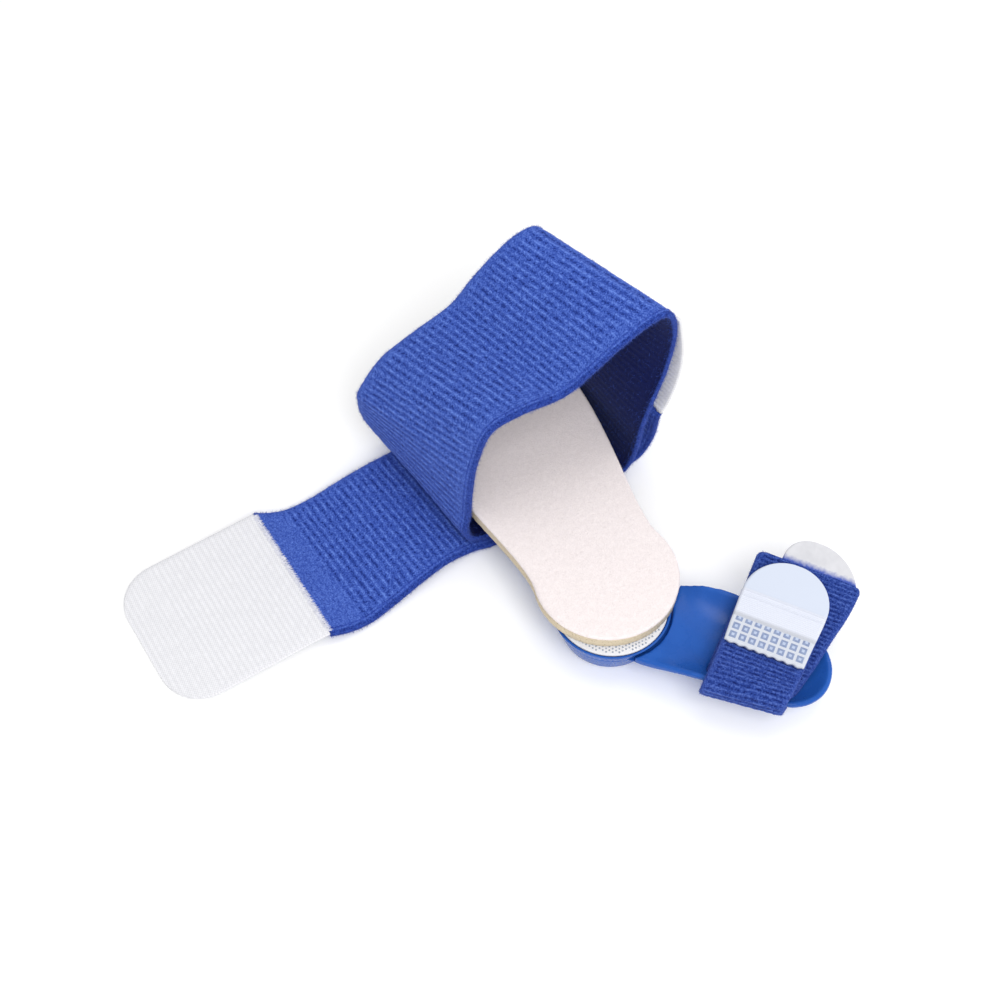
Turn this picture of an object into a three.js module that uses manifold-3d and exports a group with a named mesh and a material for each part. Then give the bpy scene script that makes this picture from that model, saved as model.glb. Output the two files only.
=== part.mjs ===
// A hinged splint that straightens the big toe, lying on its back with its straps undone.
// The origin is the foot of the hinge axis, on the surface the splint lies on. +Z is up, along
// the hinge axis, and +Y runs along the midfoot arm, away from the toe.

import * as THREE from "three";
import { mergeVertices } from "three/addons/utils/BufferGeometryUtils.js";
import Module from "manifold-3d";

const wasm = await Module();
wasm.setup();

// Room between pieces that lie on or beside each other, and around the hinge pin
const GAP = 0.3;
// How deep two layers of one knitted strap sink into each other where they are sewn
const SEAM = 0.15;

// Hinge: two discs that turn on each other round a pin
const HEAD_RADIUS = 17.7;
const HEAD_TAPER = 1;
const HUB_HEIGHT = 8.8;
const HUB_RADIUS = 16.6;
const HUB_FOOT_RADIUS = 14.4;
const HUB_FOOT_ROUND = 1.2;
const PIN_RADIUS = 3;
const PIN_HEAD_RADIUS = 5.2;
const PIN_HEAD_THICK = 1.1;
const PIN_FLOOR = 2;

// Midfoot arm: the moulded plate under the pad
const ARM_THICK = 2.7;
const ARM_WIDTH = 38;
const ARM_LENGTH = 92;
const SADDLE_WIDTH = 31;
const SADDLE_FROM = 30;
const SADDLE_CORNER = 6;
const RIM_WIDTH = 0.6;
const RIM_RISE = 0.7;

// Hook tape that holds the pad
const HOOK_THICK = 0.9;
const HOOK_STRIP_WIDTH = 33;
const HOOK_STRIP_CORNER = 8;

// Pad: an hourglass of foam faced with fleece, a little off the axis of the arm
const PAD_OFFSET = 2.1;
const PAD_END_RADIUS = 21.3;
const PAD_END_CENTRE = 6.9;
const PAD_WIDTH = 53.2;
const PAD_LENGTH = 114;
const FOAM_THICK = 3.6;
const FLEECE_THICK = 1.1;

// Midfoot strap: a standing loop round the pad, and a sole band that runs out as the free tail
const STRAP_WIDTH = 48.5;
const STRAP_THICK = 2.4;
const STRAP_STATION = 67.3;
const STRAP_OFFSET = 1.2;
const LOOP_SPAN = 70;
const LOOP_RISE = 71;
const TAIL_REACH = 77.8;
const TAB_LENGTH = 48.5;
const TAB_TURN = 2;
const TAB_THICK = 1.3;
const TAB_CORNER = 13;

// Toe shell: a spoon-like trough on the lower disc of the hinge
const TOE_TURN = -50;
const SHELL_REACH = 66.4;
const SHELL_WIDTH = 31.2;
const SHELL_HEIGHT = 15.3;
const SHELL_LIP = 2.2;
const SHELL_END_RADIUS = 12.7;
const ARC_ROOM = 0.2;
const FAR_CUT_ANGLE = 10;
const LIP_BULGE = 0.01;

// Toe strap: folded once through a slot in the near wall of the shell
const TOE_STRAP_WIDTH = 25.2;
const TOE_STRAP_THICK = 2;
const SLOT_LEVEL = 0.675;
const SLOT_FLARE = 1.1;
const SLOT_DEPTH = 0.6;
const SLOT_MIDDLE = 0.4;
const FOLD_ALONG = 0.679;
const FOLD_TURN = 5;
const TOE_TAB_THICK = 1.2;
const TOE_TAB_WIDTH = 24.2;
const FRONT_TAB_BASE = 0.94;
const BACK_TAB_SHARE = 0.9;
const TOE_TAB_SIDE = 0.4;

// Levels worked out from the sizes above
const SADDLE_FLOOR = 2 * STRAP_THICK + GAP;
const ARM_FLOOR = HUB_HEIGHT + GAP;
const ARM_TOP = ARM_FLOOR + ARM_THICK;
const HOOK_FLOOR = ARM_TOP + GAP;
const FOAM_FLOOR = HOOK_FLOOR + HOOK_THICK + GAP;
const FLEECE_FLOOR = FOAM_FLOOR + FOAM_THICK + GAP;

const DEGREE = Math.PI / 180;

const FINISHES = {
  plastic: { color: 0x2f6bc8, roughness: 0.38, metalness: 0 },
  knit: { color: 0x2c4fb8, roughness: 0.95, metalness: 0 },
  hook: { color: 0xf1f2f7, roughness: 0.8, metalness: 0 },
  greyHook: { color: 0xdcdde0, roughness: 0.8, metalness: 0 },
  fleece: { color: 0xfdf3f1, roughness: 1, metalness: 0 },
  foam: { color: 0xded0b2, roughness: 0.95, metalness: 0 },
  steel: { color: 0xb8bcc2, roughness: 0.35, metalness: 1 },
};

// Turns a three.js geometry into a solid that can be joined and cut.
function solidOf(geometry) {
  const bare = geometry.clone();
  bare.deleteAttribute("normal");
  bare.deleteAttribute("uv");
  const merged = mergeVertices(bare, 1e-4);
  const mesh = new wasm.Mesh({
    numProp: 3,
    vertProperties: Float32Array.from(merged.attributes.position.array),
    triVerts: Uint32Array.from(merged.index.array),
  });
  return new wasm.Manifold(mesh);
}

// Turns a joined or cut solid back into a three.js geometry.
function geometryOf(solid) {
  const mesh = solid.getMesh();
  const geometry = new THREE.BufferGeometry();
  geometry.setAttribute("position", new THREE.BufferAttribute(mesh.vertProperties, mesh.numProp));
  geometry.setIndex(new THREE.BufferAttribute(mesh.triVerts, 1));
  return geometry;
}

// Raises a flat outline from one level by a thickness.
function slab(shape, floor, thick, curveSegments = 20) {
  const geometry = new THREE.ExtrudeGeometry(shape, { depth: thick, bevelEnabled: false, curveSegments });
  return geometry.translate(0, 0, floor);
}

// A round body on the hinge axis, from a profile of radius and height.
function turned(profile, sides = 72) {
  const points = profile.map(([radius, height]) => new THREE.Vector2(radius, height));
  return new THREE.LatheGeometry(points, sides).rotateX(Math.PI / 2);
}

function roundSlab(radius, floor, thick) {
  return turned([[0, floor], [radius, floor], [radius, floor + thick], [0, floor + thick]]);
}

// Reads a table of rows as smooth curves over one of its columns.
function readRows(rows, over) {
  const names = Object.keys(rows[0]).filter((name) => name !== over);
  const places = rows.map((row) => row[over]);
  const values = rows.flatMap((row) => names.map((name) => row[name]));
  const spline = new THREE.CubicInterpolant(places, values, names.length);
  return (place) => {
    const found = spline.evaluate(place);
    return Object.fromEntries(names.map((name, i) => [name, found[i]]));
  };
}

// Steps along a table from row to row, with the same number of steps between all rows.
function walkRows(rows, stepsPerRow, closed) {
  const count = rows.length;
  const numbered = rows.map((row, i) => ({ ...row, step: i }));
  if (closed) {
    numbered.unshift({ ...rows[count - 1], step: -1 });
    numbered.push({ ...rows[0], step: count }, { ...rows[1], step: count + 1 });
  }
  const curve = readRows(numbered, "step");
  const last = closed ? count * stepsPerRow - 1 : (count - 1) * stepsPerRow;
  return Array.from({ length: last + 1 }, (_, i) => curve(i / stepsPerRow));
}

// Skins a row of rings into one closed body. Each ring has an upper chain of points and a lower
// one of equal length, and end points between them may close its two edges.
function skinRings(rings, closed) {
  const upperCount = rings[0].upper.length;
  const loops = rings.map(({ upper, lower, edges }) => {
    return [...upper, edges[1], ...[...lower].reverse(), edges[0]];
  });
  const size = loops[0].length;
  const faces = [];
  const quad = (a, b, c, d) => faces.push(a, b, c, a, c, d);
  const spans = closed ? loops.length : loops.length - 1;
  for (let i = 0; i < spans; i += 1) {
    const here = i * size;
    const next = ((i + 1) % loops.length) * size;
    for (let k = 0; k < size; k += 1) {
      const side = (k + 1) % size;
      quad(here + k, here + side, next + side, next + k);
    }
  }
  const cap = (start, flip) => {
    const face = (a, b, c) => faces.push(start + a, start + (flip ? c : b), start + (flip ? b : c));
    for (let k = 0; k < upperCount - 1; k += 1) {
      const below = 2 * upperCount - k;
      face(k, below, k + 1);
      face(k + 1, below, below - 1);
    }
    face(upperCount - 1, upperCount + 1, upperCount);
    face(0, size - 1, size - 2);
  };
  if (!closed) {
    cap(0, false);
    cap((loops.length - 1) * size, true);
  }
  const geometry = new THREE.BufferGeometry().setFromPoints(loops.flat());
  geometry.setIndex(faces);
  return faceOutwards(geometry);
}

// Turns a closed body's faces round if they point inwards.
function faceOutwards(geometry) {
  const at = geometry.attributes.position;
  const corner = [new THREE.Vector3(), new THREE.Vector3(), new THREE.Vector3()];
  const index = geometry.index.array;
  let volume = 0;
  for (let i = 0; i < index.length; i += 3) {
    corner.forEach((point, k) => point.fromBufferAttribute(at, index[i + k]));
    volume += corner[0].dot(corner[1].clone().cross(corner[2]));
  }
  if (volume < 0) {
    for (let i = 0; i < index.length; i += 3) {
      [index[i + 1], index[i + 2]] = [index[i + 2], index[i + 1]];
    }
  }
  return geometry;
}

// A strap or tab: each station has the centre of the band and half its width as a vector.
function band(stations, thick, closed = false) {
  const shares = [-1, -0.6, -0.2, 0.2, 0.6, 1];
  const count = stations.length;
  const near = (i) => stations[closed ? (i + count) % count : Math.min(Math.max(i, 0), count - 1)];
  const place = ({ centre, half }, share) => centre.clone().addScaledVector(half, share);
  const rings = stations.map((station, i) => {
    const side = station.half.clone().normalize();
    const layers = shares.map((share) => {
      const middle = place(station, share);
      const ahead = place(near(i + 1), share).sub(place(near(i - 1), share));
      const normal = ahead.cross(side).normalize().multiplyScalar(thick / 2);
      return { above: middle.clone().add(normal), below: middle.clone().sub(normal) };
    });
    const edges = [-1, 1].map((end) => place(station, end).addScaledVector(side, (end * thick) / 4));
    return { upper: layers.map((l) => l.above), lower: layers.map((l) => l.below), edges };
  });
  return skinRings(rings, closed);
}

// Half a band's width as a vector, turned round Z and tipped up at its far end.
function halfWidth(width, turn, tip) {
  const level = (width / 2) * Math.cos(tip * DEGREE);
  return new THREE.Vector3(
    -level * Math.sin(turn * DEGREE),
    level * Math.cos(turn * DEGREE),
    (width / 2) * Math.sin(tip * DEGREE),
  );
}

// The hourglass outline that the pad and the arm share: a round end at the toe, a waist, and
// a wider round end.
function hourglass({ middle, endRadius, endCentre, width, length }) {
  const wide = width / 2;
  const shoulder = endCentre - endRadius + length - wide;
  const leave = 15 * DEGREE;
  const rise = shoulder - endCentre;
  const shape = new THREE.Shape();
  const side = (hand) => ({
    x: middle + hand * endRadius * Math.cos(leave),
    y: endCentre + endRadius * Math.sin(leave),
    pullX: middle + hand * (endRadius * Math.cos(leave) - rise * 0.035),
    pullY: endCentre + endRadius * Math.sin(leave) + rise * 0.16,
  });
  const left = side(-1);
  const right = side(1);
  shape.absarc(middle, endCentre, endRadius, leave, Math.PI - leave, true);
  shape.bezierCurveTo(left.pullX, left.pullY, middle - wide, shoulder - rise * 0.4, middle - wide, shoulder);
  shape.absarc(middle, shoulder, wide, Math.PI, 0, true);
  shape.bezierCurveTo(middle + wide, shoulder - rise * 0.4, right.pullX, right.pullY, right.x, right.y);
  return shape;
}

function roundedRectangle(width, from, to, corner) {
  const half = width / 2;
  const shape = new THREE.Shape();
  shape.absarc(half - corner, from + corner, corner, -Math.PI / 2, 0);
  shape.absarc(half - corner, to - corner, corner, 0, Math.PI / 2);
  shape.absarc(corner - half, to - corner, corner, Math.PI / 2, Math.PI);
  shape.absarc(corner - half, from + corner, corner, Math.PI, Math.PI * 1.5);
  return shape;
}

// Midfoot arm

function midfootArm() {
  const outline = hourglass({
    middle: 0,
    endRadius: HEAD_RADIUS - HEAD_TAPER,
    endCentre: 0,
    width: ARM_WIDTH,
    length: ARM_LENGTH + HEAD_RADIUS - HEAD_TAPER,
  });
  const plate = solidOf(slab(outline, ARM_FLOOR, ARM_THICK));
  const rimTop = ARM_TOP + RIM_RISE;
  const head = solidOf(turned([
    [0, ARM_FLOOR],
    [HEAD_RADIUS - HEAD_TAPER, ARM_FLOOR],
    [HEAD_RADIUS, rimTop],
    [HEAD_RADIUS - RIM_WIDTH, rimTop],
    [HEAD_RADIUS - RIM_WIDTH, ARM_TOP],
    [0, ARM_TOP],
  ]));
  const saddle = roundedRectangle(SADDLE_WIDTH, SADDLE_FROM, ARM_LENGTH - SADDLE_CORNER, SADDLE_CORNER);
  const saddleThick = ARM_FLOOR + SEAM - SADDLE_FLOOR;
  const bore = solidOf(roundSlab(PIN_RADIUS + GAP, 0, ARM_TOP + 1));
  const seatFloor = ARM_TOP - PIN_HEAD_THICK - GAP;
  const seat = solidOf(roundSlab(PIN_HEAD_RADIUS + GAP, seatFloor, ARM_THICK));
  const moulding = plate.add(head).add(solidOf(slab(saddle, SADDLE_FLOOR, saddleThick, 8)));
  return geometryOf(moulding.subtract(bore).subtract(seat));
}

function hingePin() {
  const headFloor = ARM_TOP - PIN_HEAD_THICK;
  const foot = PIN_FLOOR + GAP;
  return turned([
    [0, foot],
    [PIN_RADIUS, foot],
    [PIN_RADIUS, headFloor],
    [PIN_HEAD_RADIUS, headFloor],
    [PIN_HEAD_RADIUS, ARM_TOP],
    [0, ARM_TOP],
  ], 48);
}

function hookDisc() {
  return roundSlab(HEAD_RADIUS - RIM_WIDTH - GAP, HOOK_FLOOR, HOOK_THICK);
}

function hookStrip() {
  const from = HEAD_RADIUS + GAP + 1;
  const to = ARM_LENGTH - 4;
  return slab(roundedRectangle(HOOK_STRIP_WIDTH, from, to, HOOK_STRIP_CORNER), HOOK_FLOOR, HOOK_THICK, 8);
}

// Pad

function padLayer(floor, thick) {
  const outline = hourglass({
    middle: PAD_OFFSET,
    endRadius: PAD_END_RADIUS,
    endCentre: PAD_END_CENTRE,
    width: PAD_WIDTH,
    length: PAD_LENGTH,
  });
  return slab(outline, floor, thick);
}

// Midfoot strap

// The loop, once round from under the arm: the centre of the band as shares of LOOP_SPAN from
// the arm's axis and of LOOP_RISE above the lowest layer, how far its ribs turn round Z, and
// how far their far ends tip up, in degrees.
const LOOP_ROWS = [
  { across: 0.0, up: 0.0, turn: 3, tip: 0 },
  { across: -0.25, up: 0.0, turn: 4, tip: 0 },
  { across: -0.38, up: 0.03, turn: 6, tip: 1 },
  { across: -0.436, up: 0.12, turn: 10, tip: 3 },
  { across: -0.446, up: 0.22, turn: 14, tip: 4 },
  { across: -0.443, up: 0.36, turn: 16, tip: -3 },
  { across: -0.424, up: 0.48, turn: 18, tip: -10 },
  { across: -0.336, up: 0.64, turn: 15, tip: -14 },
  { across: -0.193, up: 0.7, turn: 14, tip: -12 },
  { across: -0.004, up: 0.74, turn: 14, tip: -6 },
  { across: 0.113, up: 0.83, turn: 15, tip: -2 },
  { across: 0.224, up: 0.92, turn: 17, tip: -1 },
  { across: 0.333, up: 0.985, turn: 20, tip: 0 },
  { across: 0.42, up: 1.0, turn: 21, tip: 0 },
  { across: 0.462, up: 0.95, turn: 21, tip: 0 },
  { across: 0.483, up: 0.82, turn: 20, tip: 0 },
  { across: 0.474, up: 0.64, turn: 17, tip: 0 },
  { across: 0.449, up: 0.46, turn: 12, tip: 0 },
  { across: 0.434, up: 0.31, turn: 8, tip: 0 },
  { across: 0.432, up: 0.16, turn: 5, tip: 0 },
  { across: 0.4, up: 0.045, turn: 3, tip: 0 },
  { across: 0.3, up: 0.0, turn: 3, tip: 0 },
];

// The sole band's tail, from its open end to the arm: shares of TAIL_REACH and LOOP_RISE, how
// far its centre lies towards the toe as a share of STRAP_WIDTH, and its width as a share too.
const TAIL_ROWS = [
  { out: 1.0, up: 0.035, back: 0.18, turn: 4, wide: 1.0 },
  { out: 0.93, up: 0.014, back: 0.2, turn: 5, wide: 0.985 },
  { out: 0.85, up: 0.004, back: 0.205, turn: 7, wide: 0.965 },
  { out: 0.74, up: 0.012, back: 0.185, turn: 8, wide: 0.93 },
  { out: 0.6, up: 0.028, back: 0.145, turn: 9, wide: 0.9 },
  { out: 0.48, up: 0.027, back: 0.11, turn: 9, wide: 0.885 },
  { out: 0.36, up: 0.01, back: 0.085, turn: 8, wide: 0.9 },
  { out: 0.25, up: 0.003, back: 0.075, turn: 6, wide: 0.95 },
];
// The rest of the sole band, under the arm and up outside the loop, in shares of LOOP_SPAN.
const OUTER_ROWS = [
  { across: 0.0, up: 0.002, back: 0.03, turn: 6, wide: 1.0 },
  { across: 0.27, up: 0.003, back: -0.03, turn: 7, wide: 1.0 },
  { across: 0.4, up: 0.012, back: -0.066, turn: 8, wide: 1.0 },
  { across: 0.471, up: 0.064, back: -0.055, turn: 8, wide: 1.0 },
  { across: 0.514, up: 0.187, back: -0.038, turn: 8, wide: 1.0 },
  { across: 0.52, up: 0.32, back: -0.024, turn: 8, wide: 1.0 },
  { across: 0.523, up: 0.363, back: -0.018, turn: 9, wide: 1.0 },
];

// A place on the midfoot strap: beside its middle, back towards the toe as a share of its width,
// and up.
function strapPlace(beside, back, up) {
  return new THREE.Vector3(STRAP_OFFSET + beside, STRAP_STATION - back * STRAP_WIDTH, up);
}

function loopStations() {
  const lowest = 1.5 * STRAP_THICK - SEAM;
  return walkRows(LOOP_ROWS, 3, true).map(({ across, up, turn, tip }) => ({
    centre: strapPlace(across * LOOP_SPAN, 0, lowest + up * LOOP_RISE),
    half: halfWidth(STRAP_WIDTH, turn, tip),
  }));
}

function soleStations() {
  const tail = TAIL_ROWS.map(({ out, ...row }) => ({ x: -out * TAIL_REACH, ...row }));
  const outer = OUTER_ROWS.map(({ across, ...row }) => ({ x: across * LOOP_SPAN, ...row }));
  return walkRows([...tail, ...outer], 3, false).map(({ x, up, back, turn, wide }) => ({
    centre: strapPlace(x, back, STRAP_THICK / 2 + up * LOOP_RISE),
    half: halfWidth(STRAP_WIDTH * wide, turn, 0),
  }));
}

function midfootStrap() {
  const loop = solidOf(band(loopStations(), STRAP_THICK, true));
  const sole = solidOf(band(soleStations(), STRAP_THICK));
  return geometryOf(loop.add(sole));
}

// A stiff tab along a line, with round corners at its tip. Its base may be a share of its width.
function tab({ line, half, width, corner, thick, base = 1 }) {
  const length = line.getLength();
  const straight = length - corner;
  const places = straight > 0 ? [0, straight / 2] : [0];
  const firstAngle = straight > 0 ? 0 : Math.asin(-straight / corner) / DEGREE + 8;
  for (let angle = firstAngle; angle < 80; angle += 12) {
    places.push(straight + corner * Math.sin(angle * DEGREE));
  }
  places.push(straight + corner * Math.sin(82 * DEGREE));
  const side = half.clone().normalize();
  const stations = places.map((place) => {
    const into = Math.max(place - straight, 0);
    const pulledIn = corner - Math.sqrt(corner * corner - into * into);
    const flare = THREE.MathUtils.lerp(base, 1, Math.min(place / (length / 2), 1));
    const halfHere = (width / 2) * flare - pulledIn;
    return { centre: line.getPointAt(place / length), half: side.clone().multiplyScalar(halfHere) };
  });
  return band(stations, thick);
}

function freeTab() {
  const end = soleStations()[0];
  const drop = end.centre.z - TAB_THICK / 2;
  const ahead = new THREE.Vector3(-TAB_LENGTH, -TAB_LENGTH * Math.sin(TAB_TURN * DEGREE), -drop).normalize();
  const start = end.centre.clone().addScaledVector(ahead, 2 * GAP);
  const tip = start.clone().addScaledVector(ahead, TAB_LENGTH);
  return tab({
    line: new THREE.LineCurve3(start, tip),
    half: end.half,
    width: STRAP_WIDTH,
    corner: TAB_CORNER,
    thick: TAB_THICK,
  });
}

// The hook tab that closes the outer layer on the side of the loop, up to its crest.
const CLOSURE_ROWS = [
  { across: 0.53, up: 0.373, turn: 9 },
  { across: 0.549, up: 0.42, turn: 10 },
  { across: 0.57, up: 0.53, turn: 12 },
  { across: 0.569, up: 0.631, turn: 15 },
  { across: 0.558, up: 0.742, turn: 17 },
  { across: 0.536, up: 0.834, turn: 19 },
  { across: 0.517, up: 0.91, turn: 20.5 },
  { across: 0.507, up: 0.965, turn: 21 },
];
const CLOSURE_BACK = -0.01;

function closureTab() {
  const stations = walkRows(CLOSURE_ROWS, 2, false).map(({ across, up, turn }) => ({
    centre: strapPlace(across * LOOP_SPAN, CLOSURE_BACK, STRAP_THICK / 2 + up * LOOP_RISE),
    half: halfWidth(STRAP_WIDTH, turn, 0),
  }));
  return band(stations, TAB_THICK);
}

// Toe shell, with +X along the toe and +Y towards its far wall

// Sections of the trough, from the hinge axis to the centre of its round end: how full each
// wall stands, from the end's radius at 0 to half SHELL_WIDTH at 1, and the heights of the
// walls, the floor and the keel below it as shares of SHELL_HEIGHT.
const SHELL_ROWS = [
  { along: 0.14, near: 0.3, far: 0.2, nearRim: 0.78, farRim: 0.8, floor: 0.77, keel: 0.1 },
  { along: 0.24, near: 0.33, far: 0.3, nearRim: 0.79, farRim: 0.82, floor: 0.765, keel: 0.11 },
  { along: 0.33, near: 0.36, far: 0.57, nearRim: 0.82, farRim: 0.83, floor: 0.74, keel: 0.17 },
  { along: 0.42, near: 0.4, far: 0.87, nearRim: 0.89, farRim: 0.94, floor: 0.68, keel: 0.26 },
  { along: 0.52, near: 0.45, far: 1.0, nearRim: 0.96, farRim: 1.0, floor: 0.615, keel: 0.34 },
  { along: 0.62, near: 0.45, far: 1.0, nearRim: 1.0, farRim: 1.0, floor: 0.565, keel: 0.37 },
  { along: 0.76, near: 0.38, far: 0.84, nearRim: 0.985, farRim: 0.985, floor: 0.535, keel: 0.37 },
  { along: 0.9, near: 0.15, far: 0.4, nearRim: 0.93, farRim: 0.93, floor: 0.53, keel: 0.36 },
  { along: 1.0, near: 0.0, far: 0.0, nearRim: 0.875, farRim: 0.875, floor: 0.53, keel: 0.36 },
];
const TIP_RIM = 0.78;
const HOLLOW_POWER = 2.6;
const KEEL_POWER = 2.2;
const SHELL_END_CENTRE = SHELL_REACH - SHELL_END_RADIUS;

// One section of the trough: past the end's centre the walls close in as a circle.
function shellSection(row, along) {
  const past = Math.max(along - SHELL_END_CENTRE, 0);
  const closing = Math.sqrt(1 - (past / SHELL_END_RADIUS) ** 2);
  const floor = SHELL_HEIGHT * row.floor;
  const upper = [];
  const lower = [];
  const edges = [];
  const count = 9;
  for (let k = -count; k <= count; k += 1) {
    const fullness = k < 0 ? row.near : row.far;
    const wall = THREE.MathUtils.lerp(SHELL_END_RADIUS, SHELL_WIDTH / 2, fullness);
    const rimShare = THREE.MathUtils.lerp(TIP_RIM, k < 0 ? row.nearRim : row.farRim, closing);
    const rim = SHELL_HEIGHT * rimShare;
    const across = Math.sin((k / count) * (Math.PI / 2)) * wall * closing;
    const fromAxis = Math.hypot(past, across);
    const hollow = Math.min(fromAxis / (wall - SHELL_LIP), 1) ** HOLLOW_POWER;
    const curl = Math.min(fromAxis / wall, 1) ** KEEL_POWER;
    const top = THREE.MathUtils.lerp(floor, rim, hollow);
    const bottom = THREE.MathUtils.lerp(SHELL_HEIGHT * row.keel, rim - SHELL_LIP, curl);
    upper.push(new THREE.Vector3(along, across, top));
    lower.push(new THREE.Vector3(along, across, bottom));
    if (Math.abs(k) === count) {
      edges.push(new THREE.Vector3(along, across * (1 + LIP_BULGE), (top + bottom) / 2));
    }
  }
  return { upper, lower, edges };
}

function shellTrough() {
  const rowAt = readRows(SHELL_ROWS, "along");
  const first = SHELL_ROWS[0].along * SHELL_END_CENTRE;
  const straightSteps = 18;
  const places = [];
  for (let i = 0; i <= straightSteps; i += 1) {
    places.push(THREE.MathUtils.lerp(first, SHELL_END_CENTRE, i / straightSteps));
  }
  for (let angle = 12; angle <= 84; angle += 12) {
    places.push(SHELL_END_CENTRE + SHELL_END_RADIUS * Math.sin(angle * DEGREE));
  }
  const section = (along) => shellSection(rowAt(Math.min(along / SHELL_END_CENTRE, 1)), along);
  return skinRings(places.map(section), false);
}

// The lower disc of the hinge: a bowl that widens upwards, flat below with a round foot.
function hingeHub() {
  const profile = [[0, 0]];
  for (let angle = 0; angle < 90; angle += 30) {
    const across = HUB_FOOT_RADIUS - HUB_FOOT_ROUND * (1 - Math.sin(angle * DEGREE));
    profile.push([across, HUB_FOOT_ROUND * (1 - Math.cos(angle * DEGREE))]);
  }
  profile.push([HUB_FOOT_RADIUS, HUB_FOOT_ROUND], [HUB_RADIUS, HUB_HEIGHT], [0, HUB_HEIGHT]);
  return turned(profile);
}

// The slot in the near wall that the toe strap passes through.
function strapSlot() {
  const tall = TOE_STRAP_THICK + 2 * GAP;
  const wide = TOE_STRAP_WIDTH * SLOT_FLARE + 2 * GAP;
  const slot = new THREE.BoxGeometry(wide, SLOT_DEPTH * SHELL_WIDTH, tall);
  slot.rotateZ(FOLD_TURN * DEGREE);
  return slot.translate(FOLD_ALONG * SHELL_REACH, -SLOT_MIDDLE * SHELL_WIDTH, SLOT_LEVEL * SHELL_HEIGHT);
}

function toeShell() {
  const clear = HEAD_RADIUS + GAP + ARC_ROOM;
  const headRoom = solidOf(roundSlab(clear, HUB_HEIGHT, SHELL_HEIGHT));
  const farRoom = new THREE.BoxGeometry(SHELL_REACH, SHELL_WIDTH, 4 * SHELL_HEIGHT);
  const ahead = clear * Math.cos(FAR_CUT_ANGLE * DEGREE) - SHELL_REACH / 2;
  farRoom.translate(ahead, SHELL_WIDTH / 2 + clear * Math.sin(FAR_CUT_ANGLE * DEGREE), 0);
  const bore = solidOf(roundSlab(PIN_RADIUS + GAP, PIN_FLOOR, HUB_HEIGHT));
  const trough = solidOf(shellTrough()).subtract(headRoom).subtract(solidOf(farRoom));
  return geometryOf(trough.add(solidOf(hingeHub())).subtract(bore).subtract(solidOf(strapSlot())));
}

// Toe strap, from the open end of its lower run, down into the trough, out through the slot,
// round the near wall and back over it: shares of half SHELL_WIDTH across, of SHELL_HEIGHT up
// and of SHELL_REACH along, how far its ribs turn round Z, and its width as a share.
const TOE_STRAP_ROWS = [
  { across: 1.76, up: 1.443, along: 0.764, turn: -3, wide: 1.2 },
  { across: 1.35, up: 1.265, along: 0.755, turn: -3, wide: 1.18 },
  { across: 1.05, up: 1.165, along: 0.746, turn: -2, wide: 1.15 },
  { across: 0.86, up: 1.11, along: 0.738, turn: -1, wide: 1.13 },
  { across: 0.64, up: 1.01, along: 0.728, turn: 0, wide: 1.11 },
  { across: 0.19, up: 0.85, along: 0.71, turn: 1, wide: 1.07 },
  { across: -0.32, up: 0.71, along: 0.69, turn: 3, wide: 1.01 },
  { across: -0.6, up: 0.68, along: 0.68, turn: 5, wide: 0.96 },
  { across: -0.8, up: 0.68, along: 0.676, turn: 5, wide: 0.93 },
  { across: -0.95, up: 0.727, along: 0.672, turn: 5, wide: 0.91 },
  { across: -1.01, up: 0.86, along: 0.672, turn: 5, wide: 0.9 },
  { across: -1, up: 1, along: 0.674, turn: 5, wide: 0.9 },
  { across: -0.92, up: 1.105, along: 0.678, turn: 4, wide: 0.9 },
  { across: -0.74, up: 1.148, along: 0.684, turn: 2, wide: 0.905 },
  { across: -0.43, up: 1.159, along: 0.69, turn: -1, wide: 0.92 },
  { across: -0.06, up: 1.17, along: 0.695, turn: -3, wide: 0.93 },
  { across: 0.32, up: 1.222, along: 0.699, turn: -2, wide: 0.94 },
  { across: 0.58, up: 1.288, along: 0.702, turn: -2, wide: 0.94 },
];

function shellPlace({ along, across, up }) {
  return new THREE.Vector3(along * SHELL_REACH, (across * SHELL_WIDTH) / 2, up * SHELL_HEIGHT);
}

// Half a toe band's width: its ribs lie along the toe.
function toeHalf(width, turn) {
  return halfWidth(width, turn - 90, 0);
}

function toeStrap() {
  const stations = walkRows(TOE_STRAP_ROWS, 3, false).map(({ turn, wide, ...place }) => ({
    centre: shellPlace(place),
    half: toeHalf(TOE_STRAP_WIDTH * wide, turn),
  }));
  return band(stations, TOE_STRAP_THICK);
}

// The two toe tabs' centre lines, in the same shares as the strap.
const FRONT_TAB_ROWS = [
  { across: -0.19, up: 1.303, along: 0.697 },
  { across: 0.19, up: 1.338, along: 0.7 },
  { across: 0.58, up: 1.415, along: 0.706 },
  { across: 1.0, up: 1.5, along: 0.711 },
  { across: 1.61, up: 1.62, along: 0.717 },
];
const BACK_TAB_ROWS = [
  { across: 1.79, up: 1.45, along: 0.803 },
  { across: 2.03, up: 1.52, along: 0.788 },
  { across: 2.26, up: 1.57, along: 0.773 },
];

function toeTab({ rows, turn, width, base }) {
  return tab({
    line: new THREE.CatmullRomCurve3(rows.map(shellPlace)),
    half: toeHalf(width, turn),
    width,
    corner: width / 2 - TOE_TAB_SIDE,
    thick: TOE_TAB_THICK,
    base,
  });
}

function frontTab() {
  return toeTab({ rows: FRONT_TAB_ROWS, turn: -2, width: TOE_TAB_WIDTH, base: FRONT_TAB_BASE });
}

function backTab() {
  return toeTab({ rows: BACK_TAB_ROWS, turn: -3, width: TOE_TAB_WIDTH * BACK_TAB_SHARE, base: 1 });
}

const arm = new THREE.Group();
const toe = new THREE.Group();
toe.rotation.z = TOE_TURN * DEGREE;

function piece(parent, name, geometry, finish) {
  const mesh = new THREE.Mesh(geometry, new THREE.MeshStandardMaterial(FINISHES[finish]));
  mesh.name = name;
  parent.add(mesh);
}

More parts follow.
